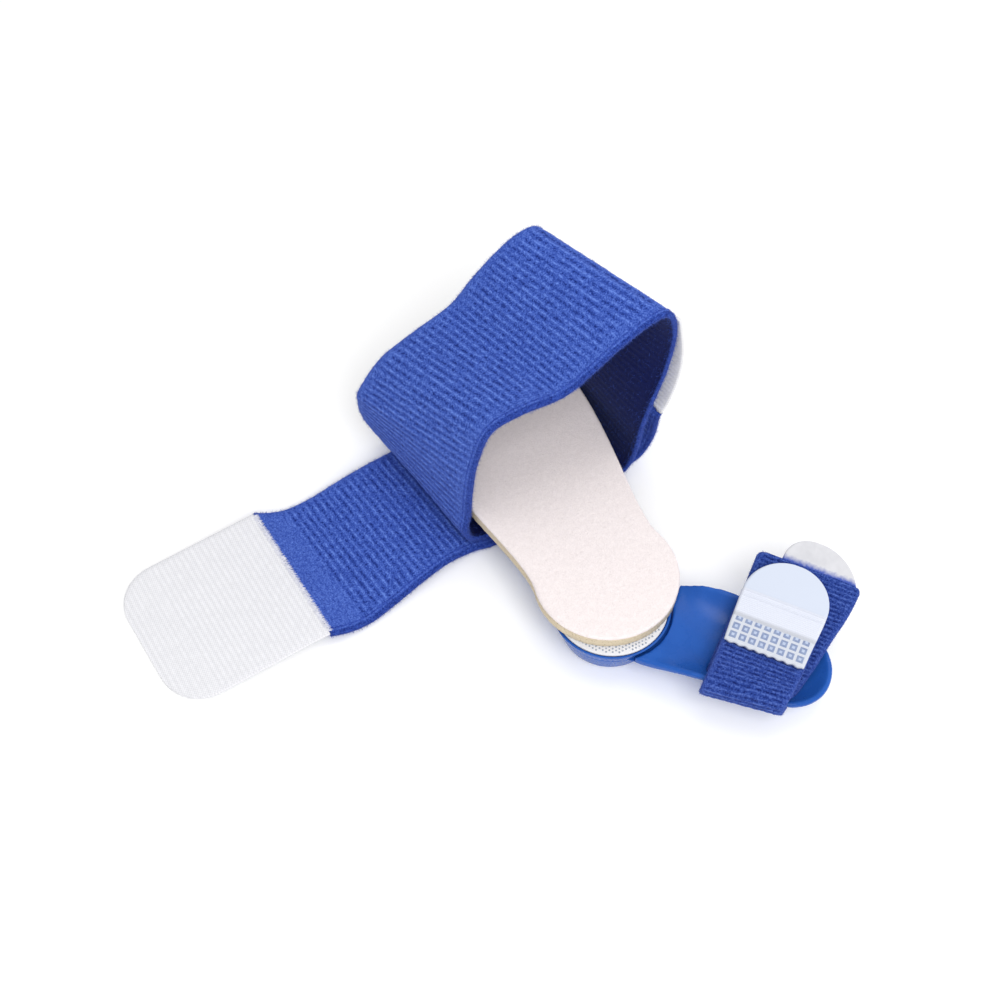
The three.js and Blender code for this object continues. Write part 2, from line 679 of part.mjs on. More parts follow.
piece(arm, "midfoot_arm", midfootArm(), "plastic");
piece(arm, "hinge_pin", hingePin(), "steel");
piece(arm, "hook_disc", hookDisc(), "hook");
piece(arm, "hook_strip", hookStrip(), "hook");
piece(arm, "pad_foam", padLayer(FOAM_FLOOR, FOAM_THICK), "foam");
piece(arm, "pad_fleece", padLayer(FLEECE_FLOOR, FLEECE_THICK), "fleece");
piece(arm, "midfoot_strap", midfootStrap(), "knit");
piece(arm, "free_tab", freeTab(), "hook");
piece(arm, "closure_tab", closureTab(), "greyHook");
piece(toe, "toe_shell", toeShell(), "plastic");
piece(toe, "toe_strap", toeStrap(), "knit");
piece(toe, "toe_tab_front", frontTab(), "hook");
piece(toe, "toe_tab_back", backTab(), "greyHook");

const splint = new THREE.Group();
splint.add(arm, toe);

export default splint;
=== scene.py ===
"""Dresses a hinged toe splint that lies on its back: arm, pad, knitted straps, hook tabs and toe shell."""
import logging
import math
from dataclasses import dataclass, field
from enum import Enum
from typing import Callable, Sequence

import bpy
import numpy as np
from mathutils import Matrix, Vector


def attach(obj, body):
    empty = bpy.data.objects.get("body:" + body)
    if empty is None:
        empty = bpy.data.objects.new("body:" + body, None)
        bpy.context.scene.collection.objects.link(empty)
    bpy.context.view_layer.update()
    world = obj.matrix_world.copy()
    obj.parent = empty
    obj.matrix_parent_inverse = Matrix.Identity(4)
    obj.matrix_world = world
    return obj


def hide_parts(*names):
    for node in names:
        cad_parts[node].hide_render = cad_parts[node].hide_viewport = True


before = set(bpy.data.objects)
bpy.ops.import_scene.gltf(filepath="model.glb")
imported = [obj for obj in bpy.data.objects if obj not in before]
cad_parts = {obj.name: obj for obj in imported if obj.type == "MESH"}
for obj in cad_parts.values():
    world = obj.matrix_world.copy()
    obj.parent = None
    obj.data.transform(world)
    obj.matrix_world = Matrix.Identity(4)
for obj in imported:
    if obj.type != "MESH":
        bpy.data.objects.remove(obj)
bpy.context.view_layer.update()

LOG = logging.getLogger("splint")
MM = 0.001
DENSE_STEPS = 40
SPINE_WELD = 0.04
PLATE_WELD = 0.01
WHITE = (1.0, 1.0, 1.0, 1.0)

Colour = tuple[float, float, float]
Triple = tuple[float, float, float]
Array = np.ndarray
Socket = bpy.types.NodeSocket
Material = bpy.types.Material
Piece = bpy.types.Object
Places = Callable[[Array], tuple[Array, Array]]
Relief = Callable[[Array, Array], Array]
Spot = tuple[Array, Array, Array]


class Body(Enum):
    """The two moving bodies of the splint."""

    ARM = "arm"
    TOE = "toe"


class Slot(Enum):
    """The material slots that the pieces are listed with."""

    PLASTIC = "plastic"
    HOOK = "hook"
    GREY_HOOK = "grey_hook"
    FOAM = "foam"
    FLEECE = "fleece"
    KNIT = "knit"


# Node trees


class NodeMaker:
    """Adds nodes to one tree and joins them."""

    def __init__(self, tree: bpy.types.NodeTree) -> None:
        """Keeps the tree."""
        self.tree = tree

    def add(self, kind: str, inputs: dict | None = None, **settings: object) -> bpy.types.Node:
        """Adds one node.

        Args:
            kind: the node's type.
            inputs: values or sockets by input name or index.
            settings: the node's own properties.
        Returns:
            The new node.
        """
        node = self.tree.nodes.new(kind)
        for key, value in settings.items():
            setattr(node, key, value)
        for key, value in (inputs or {}).items():
            self.feed(node.inputs[key], value)
        return node

    def feed(self, socket: Socket, value: object) -> None:
        """Sets an input to a value, or links another node's output to it.

        Args:
            socket: the input.
            value: a plain value or an output.
        """
        if isinstance(value, Socket):
            self.tree.links.new(value, socket)
        else:
            socket.default_value = value

    def math(self, operation: str, first: object, second: object = 0.0, clamp: bool = False) -> Socket:
        """Adds a calculation with one or two numbers and returns its result."""
        node = self.add("ShaderNodeMath", {0: first, 1: second}, operation=operation, use_clamp=clamp)
        return node.outputs[0]

    def plus(self, first: object, second: object, clamp: bool = False) -> Socket:
        """The sum of two numbers, held between 0 and 1 where asked."""
        return self.math("ADD", first, second, clamp)

    def minus(self, first: object, second: object) -> Socket:
        """The first number less the second."""
        return self.math("SUBTRACT", first, second)

    def times(self, first: object, second: object) -> Socket:
        """The product of two numbers."""
        return self.math("MULTIPLY", first, second)

    def humps(self, turns: object) -> Socket:
        """One hump, from 0 to 1, for each whole turn."""
        return self.math("ABSOLUTE", self.math("SINE", self.times(turns, math.pi)))

    def scaled(self, vector: object, factor: object) -> Socket:
        """Multiplies a vector by one number and returns it."""
        node = self.add("ShaderNodeVectorMath", {0: vector, "Scale": factor}, operation="SCALE")
        return node.outputs[0]

    def noise(self, vector: object, scale: float, detail: float = 2.0, rough: float = 0.5) -> Socket:
        """Adds a noise over a vector and returns its value."""
        inputs = {"Vector": vector, "Scale": scale, "Detail": detail, "Roughness": rough}
        return self.add("ShaderNodeTexNoise", inputs).outputs[0]

    def combine(self, x: object, y: object, z: object = 0.0) -> Socket:
        """Joins three numbers into a vector."""
        return self.add("ShaderNodeCombineXYZ", {0: x, 1: y, 2: z}).outputs[0]

    def span(
        self, value: object, low: float, high: float, to_low: float = 0.0, to_high: float = 1.0
    ) -> Socket:
        """Maps a range of values onto another one, held at its ends, and returns it."""
        inputs = {"Value": value, "From Min": low, "From Max": high, "To Min": to_low, "To Max": to_high}
        return self.add("ShaderNodeMapRange", inputs).outputs[0]


class SurfaceMaker(NodeMaker):
    """Builds one surface material."""

    def __init__(self, name: str) -> None:
        """Makes an empty material with its shader.

        Args:
            name: the material's name.
        """
        self.material = bpy.data.materials.new(name)
        self.material.use_nodes = True
        super().__init__(self.material.node_tree)
        self.shader = next(n for n in self.tree.nodes if n.type == "BSDF_PRINCIPLED")

    def place(self) -> Socket:
        """The place on the object, in metres."""
        return self.add("ShaderNodeTexCoord").outputs["Object"]

    def attribute(self, name: str) -> Socket:
        """A number stored on the mesh."""
        return self.add("ShaderNodeAttribute", attribute_name=name).outputs["Fac"]

    def ramp(self, value: object, stops: Sequence[tuple[float, Colour]]) -> Socket:
        """Colours a value by stops.

        Args:
            value: the value's socket.
            stops: places from 0 to 1 and their colours.
        Returns:
            The colour socket.
        """
        node = self.add("ShaderNodeValToRGB", {0: value})
        elements = node.color_ramp.elements
        while len(elements) < len(stops):
            elements.new(0.5)
        for element, (place, colour) in zip(elements, stops):
            element.position = place
            element.color = (*colour, 1.0)
        return node.outputs[0]

    def mix(self, factor: object, first: object, second: object) -> Socket:
        """Mixes two colours.

        Args:
            factor: how much of the second.
            first: a colour or its socket.
            second: a colour or its socket.
        Returns:
            The colour socket.
        """
        whole = [(*c, 1.0) if isinstance(c, tuple) else c for c in (first, second)]
        node = self.add("ShaderNodeMix", {0: factor, 6: whole[0], 7: whole[1]}, data_type="RGBA")
        return node.outputs[2]

    def bump(self, height: object, depth: float, strength: float = 1.0) -> None:
        """Raises the surface's shading by a height."""
        node = self.add("ShaderNodeBump", {"Height": height, "Distance": depth, "Strength": strength})
        self.feed(self.shader.inputs["Normal"], node.outputs[0])

    def set(self, **values: object) -> Material:
        """Sets the shader's inputs.

        Args:
            values: values or sockets by input name, with underscores for spaces.
        Returns:
            The material.
        """
        for key, value in values.items():
            self.feed(self.shader.inputs[key.replace("_", " ")], value)
        return self.material


class ShapeTree(NodeMaker):
    """A Geometry Nodes tree with named inputs, applied to a mesh as a plain result."""

    KINDS = {float: "NodeSocketFloat", int: "NodeSocketInt"}

    def __init__(self, name: str, sizes: dict[str, object]) -> None:
        """Makes the tree with one input for each size.

        Args:
            name: the tree's name.
            sizes: its inputs and their values.
        """
        super().__init__(bpy.data.node_groups.new(name, "GeometryNodeTree"))
        face = self.tree.interface
        face.new_socket("Geometry", in_out="INPUT", socket_type="NodeSocketGeometry")
        face.new_socket("Geometry", in_out="OUTPUT", socket_type="NodeSocketGeometry")
        self.values: dict[str, object] = {}
        for label, value in sizes.items():
            kind = self.KINDS.get(type(value))
            kind = kind or f"NodeSocket{'Material' if isinstance(value, Material) else 'Object'}"
            self.values[face.new_socket(label, in_out="INPUT", socket_type=kind).identifier] = value
        self.source = self.add("NodeGroupInput")

    def size(self, label: str) -> Socket:
        """One named input of the tree."""
        return self.source.outputs[label]

    def read(self, name: str, kind: str = "FLOAT") -> Socket:
        """A value stored on the mesh."""
        return self.add("GeometryNodeInputNamedAttribute", {"Name": name}, data_type=kind).outputs[0]

    def close(self, geometry: Socket) -> None:
        """Ends the tree with real geometry that has its material.

        Args:
            geometry: what the tree has made.
        """
        real = self.add("GeometryNodeRealizeInstances", {0: geometry}).outputs[0]
        dressed = self.add("GeometryNodeSetMaterial", {"Geometry": real, "Material": self.size("Material")})
        self.add("NodeGroupOutput", {0: dressed.outputs[0]})

    def store(self, geometry: Socket, name: str, value: Socket) -> Socket:
        """Stores a number on the mesh.

        Args:
            geometry: the mesh.
            name: the number's name.
            value: the number.
        Returns:
            The mesh with it.
        """
        node = self.add("GeometryNodeStoreNamedAttribute", {"Geometry": geometry, "Name": name})
        self.feed(node.inputs["Value"], value)
        return node.outputs[0]

    def raised(self, geometry: Socket, lift: Socket) -> Socket:
        """Moves points along their normals.

        Args:
            geometry: the mesh.
            lift: how far, in metres.
        Returns:
            The moved mesh.
        """
        normal = self.add("GeometryNodeInputNormal").outputs[0]
        inputs = {"Geometry": geometry, "Offset": self.scaled(normal, lift)}
        return self.add("GeometryNodeSetPosition", inputs).outputs[0]

    def apply(self, piece: Piece) -> Piece:
        """Runs the tree on a piece and keeps the result as its plain mesh.

        Args:
            piece: the piece.
        Returns:
            The same piece.
        """
        modifier = piece.modifiers.new("shape", "NODES")
        modifier.node_group = self.tree
        for identifier, value in self.values.items():
            modifier[identifier] = value
        return plain(piece)


def plain(piece: Piece) -> Piece:
    """Turns what a piece's modifiers make into its own mesh, and removes them.

    Args:
        piece: the piece.
    Returns:
        The same piece.
    """
    bpy.context.view_layer.update()
    graph = bpy.context.evaluated_depsgraph_get()
    made = bpy.data.meshes.new_from_object(
        piece.evaluated_get(graph), preserve_all_data_layers=True, depsgraph=graph)
    piece.modifiers.clear()
    old, piece.data = piece.data, made
    bpy.data.meshes.remove(old)
    made.name = piece.name
    return piece


def rib_tree(
    material: Material, pitch: float, depth: float, chunk: float, waver: float, seed: float
) -> ShapeTree:
    """Raises ribs across a band.

    Args:
        material: the band's material.
        pitch: from rib to rib, in metres.
        depth: how far a rib stands out.
        chunk: how long one loop of a rib is.
        waver: how far a rib wanders, as a share of the pitch.
        seed: moves the pattern.
    Returns:
        The tree.
    """
    sizes = {"Pitch": pitch, "Depth": depth, "Chunk": chunk, "Waver": waver, "Seed": seed}
    tree = ShapeTree("ribs", {**sizes, "Material": material})
    arc, across = tree.read("arc"), tree.read("across")
    loops = tree.math("DIVIDE", across, tree.size("Chunk"))
    flow = tree.combine(tree.math("DIVIDE", arc, tree.size("Pitch")), loops, tree.size("Seed"))
    drift = tree.times(tree.minus(tree.noise(flow, 0.45), 0.5), tree.size("Waver"))
    turn = tree.plus(tree.math("DIVIDE", arc, tree.size("Pitch")), drift)
    rib = tree.math("FLOOR", turn)
    links = tree.noise(tree.combine(tree.times(rib, 3.7), tree.times(loops, 2.2)), 1.0, 1.0)
    lump = tree.span(links, 0.3, 0.7, 0.35, 1.0)
    crest = tree.times(tree.math("POWER", tree.humps(turn), 1.6), lump)
    calm = tree.times(crest, tree.read("calm"))
    lift = tree.times(tree.minus(calm, 0.5), tree.size("Depth"))
    counted = tree.store(tree.store(tree.size("Geometry"), "crest", calm), "turn", turn)
    tree.close(tree.raised(counted, lift))
    return tree


def rough_tree(material: Material, grain: float, depth: float) -> ShapeTree:
    """Roughens a surface by a noise.

    Args:
        material: the surface's material.
        grain: the noise's grain in metres.
        depth: its depth in metres.
    Returns:
        The tree.
    """
    tree = ShapeTree("rough", {"Grain": 1.0 / grain, "Depth": depth, "Material": material})
    place = tree.add("GeometryNodeInputPosition").outputs[0]
    value = tree.minus(tree.noise(tree.scaled(place, tree.size("Grain")), 1.0, 3.0), 0.5)
    tree.close(tree.raised(tree.size("Geometry"), tree.times(value, tree.size("Depth"))))
    return tree


def nap_tree(material: Material, fibre: Piece, density: float, lean: float, seed: int) -> ShapeTree:
    """Strews short fibres over a surface.

    Args:
        material: the fibres' material.
        fibre: one fibre, standing on +Z.
        density: fibres a square metre, times the mesh's own nap value.
        lean: how far a fibre may lean, in radians.
        seed: the strewing's seed.
    Returns:
        The tree.
    """
    sizes = {"Fibre": fibre, "Density": density, "Lean": lean, "Seed": seed}
    tree = ShapeTree("nap", {**sizes, "Material": material})
    thick = tree.times(tree.size("Density"), tree.read("nap"))
    inputs = {"Mesh": tree.size("Geometry"), "Density": thick, "Seed": tree.size("Seed")}
    spots = tree.add("GeometryNodeDistributePointsOnFaces", inputs)
    back = tree.times(tree.size("Lean"), -1.0)
    low = tree.combine(back, back, -math.pi)
    high = tree.combine(tree.size("Lean"), tree.size("Lean"), math.pi)
    random = tree.add("FunctionNodeRandomValue", {0: low, 1: high, "Seed": 3}, data_type="FLOAT_VECTOR")
    euler = tree.add("FunctionNodeEulerToRotation", {0: random.outputs[0]})
    turn = tree.add("FunctionNodeRotateRotation", {0: spots.outputs["Rotation"], 1: euler.outputs[0]})
    turn.rotation_space = "LOCAL"
    size = tree.add("FunctionNodeRandomValue", {2: 0.45, 3: 1.0, "Seed": 5}, data_type="FLOAT").outputs[1]
    shape = tree.add("GeometryNodeObjectInfo", {"Object": tree.size("Fibre")}).outputs["Geometry"]
    laid = {"Points": spots.outputs["Points"], "Instance": shape, "Rotation": turn.outputs[0], "Scale": size}
    tree.close(tree.add("GeometryNodeInstanceOnPoints", laid).outputs[0])
    return tree


def row_tree(material: Material, shape: Piece) -> ShapeTree:
    """Puts one shape on each point, turned by the point's directions.

    Args:
        material: the shapes' material.
        shape: the shape, its X axis ahead and its Z axis up.
    Returns:
        The tree.
    """
    tree = ShapeTree("rows", {"Shape": shape, "Material": material})
    inputs = {"Vector": tree.read("ahead", "FLOAT_VECTOR")}
    along = tree.add("FunctionNodeAlignRotationToVector", inputs, axis="X")
    inputs = {"Rotation": along.outputs[0], "Vector": tree.read("up", "FLOAT_VECTOR")}
    turn = tree.add("FunctionNodeAlignRotationToVector", inputs, axis="Z", pivot_axis="X")
    form = tree.add("GeometryNodeObjectInfo", {"Object": tree.size("Shape")}).outputs["Geometry"]
    laid = {"Points": tree.size("Geometry"), "Instance": form, "Rotation": turn.outputs[0]}
    tree.close(tree.add("GeometryNodeInstanceOnPoints", laid).outputs[0])
    return tree


# Finishes


@dataclass(frozen=True)
class Knit:
    """Brushed rib knit: thin broken crest lines in painted highlight over grooves in painted shade, a painted
    shade on the inner face, a sewn hem line and a soft nap.
    """

    name: str = "brushed_rib_knit"
    # painted shade: the colour in the grooves between ribs
    groove_shade: Colour = (0.008, 0.022, 0.17)
    body: Colour = (0.037, 0.084, 0.41)
    # painted highlight: the colour of the lit rib crest lines
    loop: Colour = (0.125, 0.225, 0.68)
    # painted shade: the colour that the inner face is multiplied by
    inner: Colour = (0.03, 0.045, 0.15)
    hem_at: float = 1.3 * MM
    hem_half: float = 0.4 * MM
    edge_reach: float = 0.6 * MM

    def make(self) -> Material:
        """Builds the material.

        Returns:
            The material.
        """
        maker = SurfaceMaker(self.name)
        place, calm = maker.place(), maker.attribute("calm")
        mottle = maker.noise(place, 950.0, 3.0, 0.75)
        fine = maker.noise(place, 2100.0, 2.0, 0.85)
        wave = maker.humps(maker.attribute("turn"))
        rows = maker.times(maker.attribute("turn"), 1.6)
        along = maker.combine(rows, maker.times(maker.attribute("across"), 560.0))
        broken = maker.span(maker.noise(along, 1.0, 2.0, 0.8), 0.42, 0.6, 0.0, 1.0)
        # Painted highlight: the narrow crest of each rib is drawn lighter, broken along it.
        line = maker.times(maker.times(maker.span(wave, 0.84, 1.0), broken), calm)
        # Painted shade: the grooves between ribs are drawn darker, in blotches.
        groove_shade = maker.times(maker.span(wave, 0.2, 0.75, 1.0, 0.0), calm)
        groove_shade = maker.times(groove_shade, maker.span(mottle, 0.4, 0.58, 1.0, 0.1))
        hem = maker.math("ABSOLUTE", maker.minus(maker.attribute("inset"), self.hem_at))
        tone = maker.plus(maker.times(line, 0.36), maker.times(groove_shade, -0.34))
        tone = maker.plus(tone, maker.times(maker.minus(fine, 0.5), 1.45))
        tone = maker.plus(tone, maker.times(maker.minus(mottle, 0.5), 0.5))
        tone = maker.plus(tone, maker.span(hem, 0.0, self.hem_half, -0.22, 0.0))
        tone = maker.plus(tone, maker.span(maker.attribute("inset"), 0.0, self.edge_reach, -0.3, 0.0))
        tone = maker.plus(tone, maker.span(calm, 0.1, 0.9, 0.6, 0.54), clamp=True)
        colour = maker.ramp(tone, [(0.12, self.groove_shade), (0.5, self.body), (0.92, self.loop)])
        # Painted shade: the band's inner face is multiplied darker.
        shade = maker.mix(maker.attribute("inner"), (1.0, 1.0, 1.0), self.inner)
        pair = {0: 1.0, 6: colour, 7: shade}
        both = maker.add("ShaderNodeMix", pair, data_type="RGBA", blend_type="MULTIPLY")
        height = maker.plus(maker.times(line, 0.4), maker.plus(fine, mottle))
        maker.bump(height, 0.0002, 0.8)
        return maker.set(Base_Color=both.outputs[2], Roughness=0.95, Sheen_Weight=0.16, Sheen_Roughness=0.5,
                         Sheen_Tint=(0.5, 0.6, 1.0, 1.0), Specular_IOR_Level=0.1)


@dataclass(frozen=True)
class Yarn:
    """A plain yarn with a little change of shade along it."""

    name: str
    dark: Colour
    light: Colour

    def make(self) -> Material:
        """Builds the material.

        Returns:
            The material.
        """
        maker = SurfaceMaker(self.name)
        tone = maker.noise(maker.place(), 900.0, 2.0)
        colour = maker.ramp(tone, [(0.3, self.dark), (0.7, self.light)])
        return maker.set(Base_Color=colour, Roughness=0.85, Specular_IOR_Level=0.2)


@dataclass(frozen=True)
class HookTape:
    """Woven hook tape: pale threads both ways, greyer between them, with painted highlight on its rib crests.
    """

    name: str
    low: Colour
    high: Colour
    pitch: float = 0.9 * MM
    gloss: float = 0.55

    def make(self) -> Material:
        """Builds the material.

        Returns:
            The material.
        """
        maker = SurfaceMaker(self.name)
        turn = 2.0 * math.pi / self.pitch
        warp = maker.math("SINE", maker.times(maker.attribute("across"), turn))
        weft = maker.math("SINE", maker.times(maker.attribute("arc"), turn))
        weave = maker.times(warp, weft)
        grain = maker.noise(maker.place(), 1500.0, 2.0, 0.6)
        tone = maker.plus(maker.span(weave, -1.0, 1.0, 0.0, 0.42), maker.times(grain, 0.35))
        # Painted highlight: the rib crests are drawn lighter.
        tone = maker.plus(tone, maker.times(maker.attribute("crest"), 0.35), clamp=True)
        colour = maker.ramp(tone, [(0.1, self.low), (0.75, self.high)])
        maker.bump(tone, 0.00018, 0.7)
        return maker.set(Base_Color=colour, Roughness=self.gloss, Sheen_Weight=0.1)


@dataclass(frozen=True)
class Moulded:
    """Satin moulded plastic with a faint grain."""

    name: str = "moulded_plastic"
    dark: Colour = (0.012, 0.076, 0.35)
    light: Colour = (0.02, 0.11, 0.46)

    def make(self) -> Material:
        """Builds the material.

        Returns:
            The material.
        """
        maker = SurfaceMaker(self.name)
        place = maker.place()
        cloud = maker.noise(place, 60.0, 3.0)
        grain = maker.noise(place, 1800.0, 2.0)
        colour = maker.ramp(cloud, [(0.3, self.dark), (0.7, self.light)])
        maker.bump(grain, 0.00001, 0.4)
        rough = maker.span(maker.noise(place, 240.0, 2.0), 0.3, 0.7, 0.22, 0.34)
        return maker.set(Base_Color=colour, Roughness=rough, IOR=1.45,
                         Specular_IOR_Level=0.2, Coat_Weight=0.02, Coat_Roughness=0.2)


@dataclass(frozen=True)
class Foam:
    """Die-cut foam: matt, beige, with open pores."""

    name: str = "cut_foam"
    pore: Colour = (0.4, 0.32, 0.2)
    body: Colour = (0.68, 0.58, 0.42)

    def make(self) -> Material:
        """Builds the material.

        Returns:
            The material.
        """
        maker = SurfaceMaker(self.name)
        place = maker.place()
        pores = maker.add("ShaderNodeTexVoronoi", {"Vector": place, "Scale": 1500.0}).outputs["Distance"]
        tone = maker.plus(maker.span(pores, 0.05, 0.4), maker.times(maker.noise(place, 300.0), 0.4))
        colour = maker.ramp(tone, [(0.2, self.pore), (0.75, self.body)])
        maker.bump(tone, 0.00018, 0.8)
        return maker.set(Base_Color=colour, Roughness=0.95, Specular_IOR_Level=0.2)


@dataclass(frozen=True)
class Fleece:
    """Short felted fleece, slightly mottled."""

    name: str = "short_fleece"
    low: Colour = (0.77, 0.7, 0.695)
    high: Colour = (0.91, 0.835, 0.83)

    def make(self) -> Material:
        """Builds the material.

        Returns:
            The material.
        """
        maker = SurfaceMaker(self.name)
        place = maker.place()
        mottle = maker.noise(place, 700.0, 4.0, 0.65)
        fine = maker.noise(place, 2200.0, 2.0, 0.7)
        tone = maker.plus(maker.times(mottle, 0.5), maker.times(fine, 0.6))
        colour = maker.ramp(tone, [(0.3, self.low), (0.75, self.high)])
        maker.bump(maker.plus(fine, mottle), 0.0002, 0.6)
        return maker.set(Base_Color=colour, Roughness=1.0, Sheen_Weight=0.2, Specular_IOR_Level=0.1)


@dataclass(frozen=True)
class Film:
    """The front toe tab's face: a smooth pale tip, a lined band and a white welded foot."""

    name: str = "tab_film"
    tip: Colour = (0.58, 0.63, 0.74)
    lined: Colour = (0.69, 0.72, 0.82)
    shade: Colour = (0.5, 0.52, 0.58)
    foot: Colour = (0.6, 0.63, 0.7)
    line_pitch: float = 0.55 * MM

    def make(self, shade_at: float, band_at: float, tip_at: float) -> Material:
        """Builds the material, with the zones in their places.

        Args:
            shade_at: where the shaded line starts, in metres along the tab.
            band_at: where the lined band starts.
            tip_at: where the smooth tip starts.
        Returns:
            The material.
        """
        maker = SurfaceMaker(self.name)
        arc = maker.attribute("arc")
        step = 0.3 * MM
        lines = maker.math("SINE", maker.times(arc, 2.0 * math.pi / self.line_pitch))
        lined = maker.mix(maker.span(lines, -1.0, 1.0, 0.0, 0.2), self.lined, self.shade)
        colour = maker.mix(maker.span(arc, shade_at, shade_at + step), self.foot, self.shade)
        colour = maker.mix(maker.span(arc, band_at - 2.0 * step, band_at + step), colour, lined)
        colour = maker.mix(maker.span(arc, tip_at, tip_at + step), colour, self.tip)
        grain = maker.times(maker.noise(maker.place(), 900.0), 0.3)
        smooth = maker.span(arc, tip_at, tip_at + step, 1.0, 0.05)
        maker.bump(maker.times(maker.plus(lines, grain), smooth), 0.00008, 0.5)
        return maker.set(Base_Color=colour, Roughness=0.36, Specular_IOR_Level=0.4)


@dataclass(frozen=True)
class Frosted:
    """The back toe tab: frosted film, with blue nap worked into its foot."""

    name: str = "frosted_tab"
    body: Colour = (0.66, 0.66, 0.69)
    cloudy: Colour = (0.58, 0.58, 0.61)
    nap: Colour = (0.035, 0.08, 0.4)

    def make(self, start: float, fade: float) -> Material:
        """Builds the material, with its foot in blue.

        Args:
            start: where the blue nap starts to fade, in metres along the tab.
            fade: how far it takes.
        Returns:
            The material.
        """
        maker = SurfaceMaker(self.name)
        place = maker.place()
        cloud = maker.noise(place, 260.0, 3.0)
        film = maker.ramp(cloud, [(0.3, self.cloudy), (0.7, self.body)])
        torn = maker.times(maker.minus(maker.noise(place, 900.0, 3.0), 0.5), fade)
        edge = maker.span(maker.plus(maker.attribute("arc"), torn), start, start + fade, 1.0, 0.0)
        colour = maker.mix(edge, film, self.nap)
        maker.bump(cloud, 0.00005, 0.5)
        return maker.set(Base_Color=colour, Roughness=0.45, Specular_IOR_Level=0.35)


@dataclass(frozen=True)
class Steel:
    """Brushed steel of the hinge pin."""

    name: str = "brushed_pin"
    dark: Colour = (0.42, 0.43, 0.45)
    light: Colour = (0.62, 0.63, 0.65)

    def make(self) -> Material:
        """Builds the material.

        Returns:
            The material.
        """
        maker = SurfaceMaker(self.name)
        brushed = maker.noise(maker.place(), 1400.0, 3.0)
        colour = maker.ramp(brushed, [(0.3, self.dark), (0.7, self.light)])
        maker.bump(brushed, 0.00002, 0.4)
        return maker.set(Base_Color=colour, Metallic=1.0, Roughness=0.35)


@dataclass(frozen=True)
class Table:
    """The plain pale floor."""

    name: str = "pale_floor"
    low: Colour = (0.94, 0.94, 0.94)
    high: Colour = (0.96, 0.96, 0.96)
    glow: float = 0.08

    def make(self) -> Material:
        """Builds the material.

        Returns:
            The material.
        """
        maker = SurfaceMaker(self.name)
        colour = maker.ramp(maker.noise(maker.place(), 6.0), [(0.3, self.low), (0.7, self.high)])
        return maker.set(Base_Color=colour, Roughness=0.9, Specular_IOR_Level=0.1,
                         Emission_Color=WHITE, Emission_Strength=self.glow)


# Shapes


def cubic(places: Array, values: Array, at: Array) -> Array:
    """Reads rows of values as smooth curves over their places, with free ends.

    Args:
        places: the rows' places, rising.
        values: one row of values for each place.
        at: where to read.
    Returns:
        One row of values for each place read.
    """
    last = len(places) - 1
    after = np.clip(np.searchsorted(places, at, side="right"), 1, last)
    before = after - 1
    start, end = places[before], places[after]
    ahead = np.minimum(after + 1, last)
    behind = np.maximum(before - 1, 0)
    start_open, end_open = before == 0, after == last
    t_behind = np.where(start_open, end, places[behind])
    t_ahead = np.where(end_open, start, places[ahead])
    v_behind = np.where(start_open[:, None], values[after], values[behind])
    v_ahead = np.where(end_open[:, None], values[before], values[ahead])
    half = (end - start) / 2.0
    w_behind = (half / (start - t_behind))[:, None]
    w_ahead = (half / (t_ahead - end))[:, None]
    p = ((at - start) / (end - start))[:, None]
    behind_part = (-w_behind * p**3 + 2.0 * w_behind * p**2 - w_behind * p) * v_behind
    start_curve = (1 + w_behind) * p**3 + (-1.5 - 2 * w_behind) * p**2 + (w_behind - 0.5) * p + 1
    start_part = start_curve * values[before]
    end_part = ((-1 - w_ahead) * p**3 + (1.5 + w_ahead) * p**2 + 0.5 * p) * values[after]
    return behind_part + start_part + end_part + (w_ahead * p**3 - w_ahead * p**2) * v_ahead


def walk(rows: Sequence[tuple[float, ...]], at: Array, closed: bool = False) -> Array:
    """Reads a table as smooth curves by row number.

    Args:
        rows: the table.
        at: the row numbers to read, with shares between rows.
        closed: whether its end joins its start.
    Returns:
        One row of values for each number.
    """
    values = np.array(rows, float)
    places = np.arange(len(values), dtype=float)
    if closed:
        values = np.vstack([values[-1:], values, values[:2]])
        places = np.arange(-1.0, len(rows) + 2.0)
    return cubic(places, values, at)


def half_width(width: Array | float, turn: Array, tip: Array | float = 0.0) -> Array:
    """Half a band's width as vectors.

    Args:
        width: the whole width.
        turn: the turn round Z in degrees.
        tip: the rise at the far end in degrees.
    Returns:
        One vector for each turn.
    """
    turned, tipped = np.radians(turn), np.radians(tip) + 0.0 * np.asarray(turn)
    level = 0.5 * width * np.cos(tipped)
    return np.stack([-level * np.sin(turned), level * np.cos(turned), 0.5 * width * np.sin(tipped)], axis=-1)


def unit(vectors: Array) -> Array:
    """Vectors of length one."""
    return vectors / np.maximum(np.linalg.norm(vectors, axis=-1, keepdims=True), 1e-9)


def turn_toe(points: Array, degrees: float) -> Array:
    """Turns points round the hinge axis."""
    a = math.radians(degrees)
    return points @ np.array([[math.cos(a), math.sin(a), 0], [-math.sin(a), math.cos(a), 0], [0, 0, 1.0]])


def build(
    name: str, points: Array, faces: Sequence[Sequence[int]], values: dict[str, Array] | None = None
) -> Piece:
    """Makes a smooth object from points in millimetres.

    Args:
        name: the object's name.
        points: one place a row.
        faces: the corners of each face; none for a cloud of points.
        values: numbers or vectors stored on the points.
    Returns:
        The object, linked to the scene.
    """
    mesh = bpy.data.meshes.new(name)
    mesh.from_pydata((points * MM).tolist(), [], [list(map(int, f)) for f in faces])
    for key, data in (values or {}).items():
        kind = "FLOAT_VECTOR" if data.ndim == 2 else "FLOAT"
        stored = mesh.attributes.new(key, kind, "POINT").data
        stored.foreach_set("vector" if data.ndim == 2 else "value", data.astype(np.float32).ravel())
    piece = bpy.data.objects.new(name, mesh)
    bpy.context.scene.collection.objects.link(piece)
    if len(faces):
        face_out(mesh)
        mesh.polygons.foreach_set("use_smooth", [True] * len(mesh.polygons))
    mesh.update()
    return piece


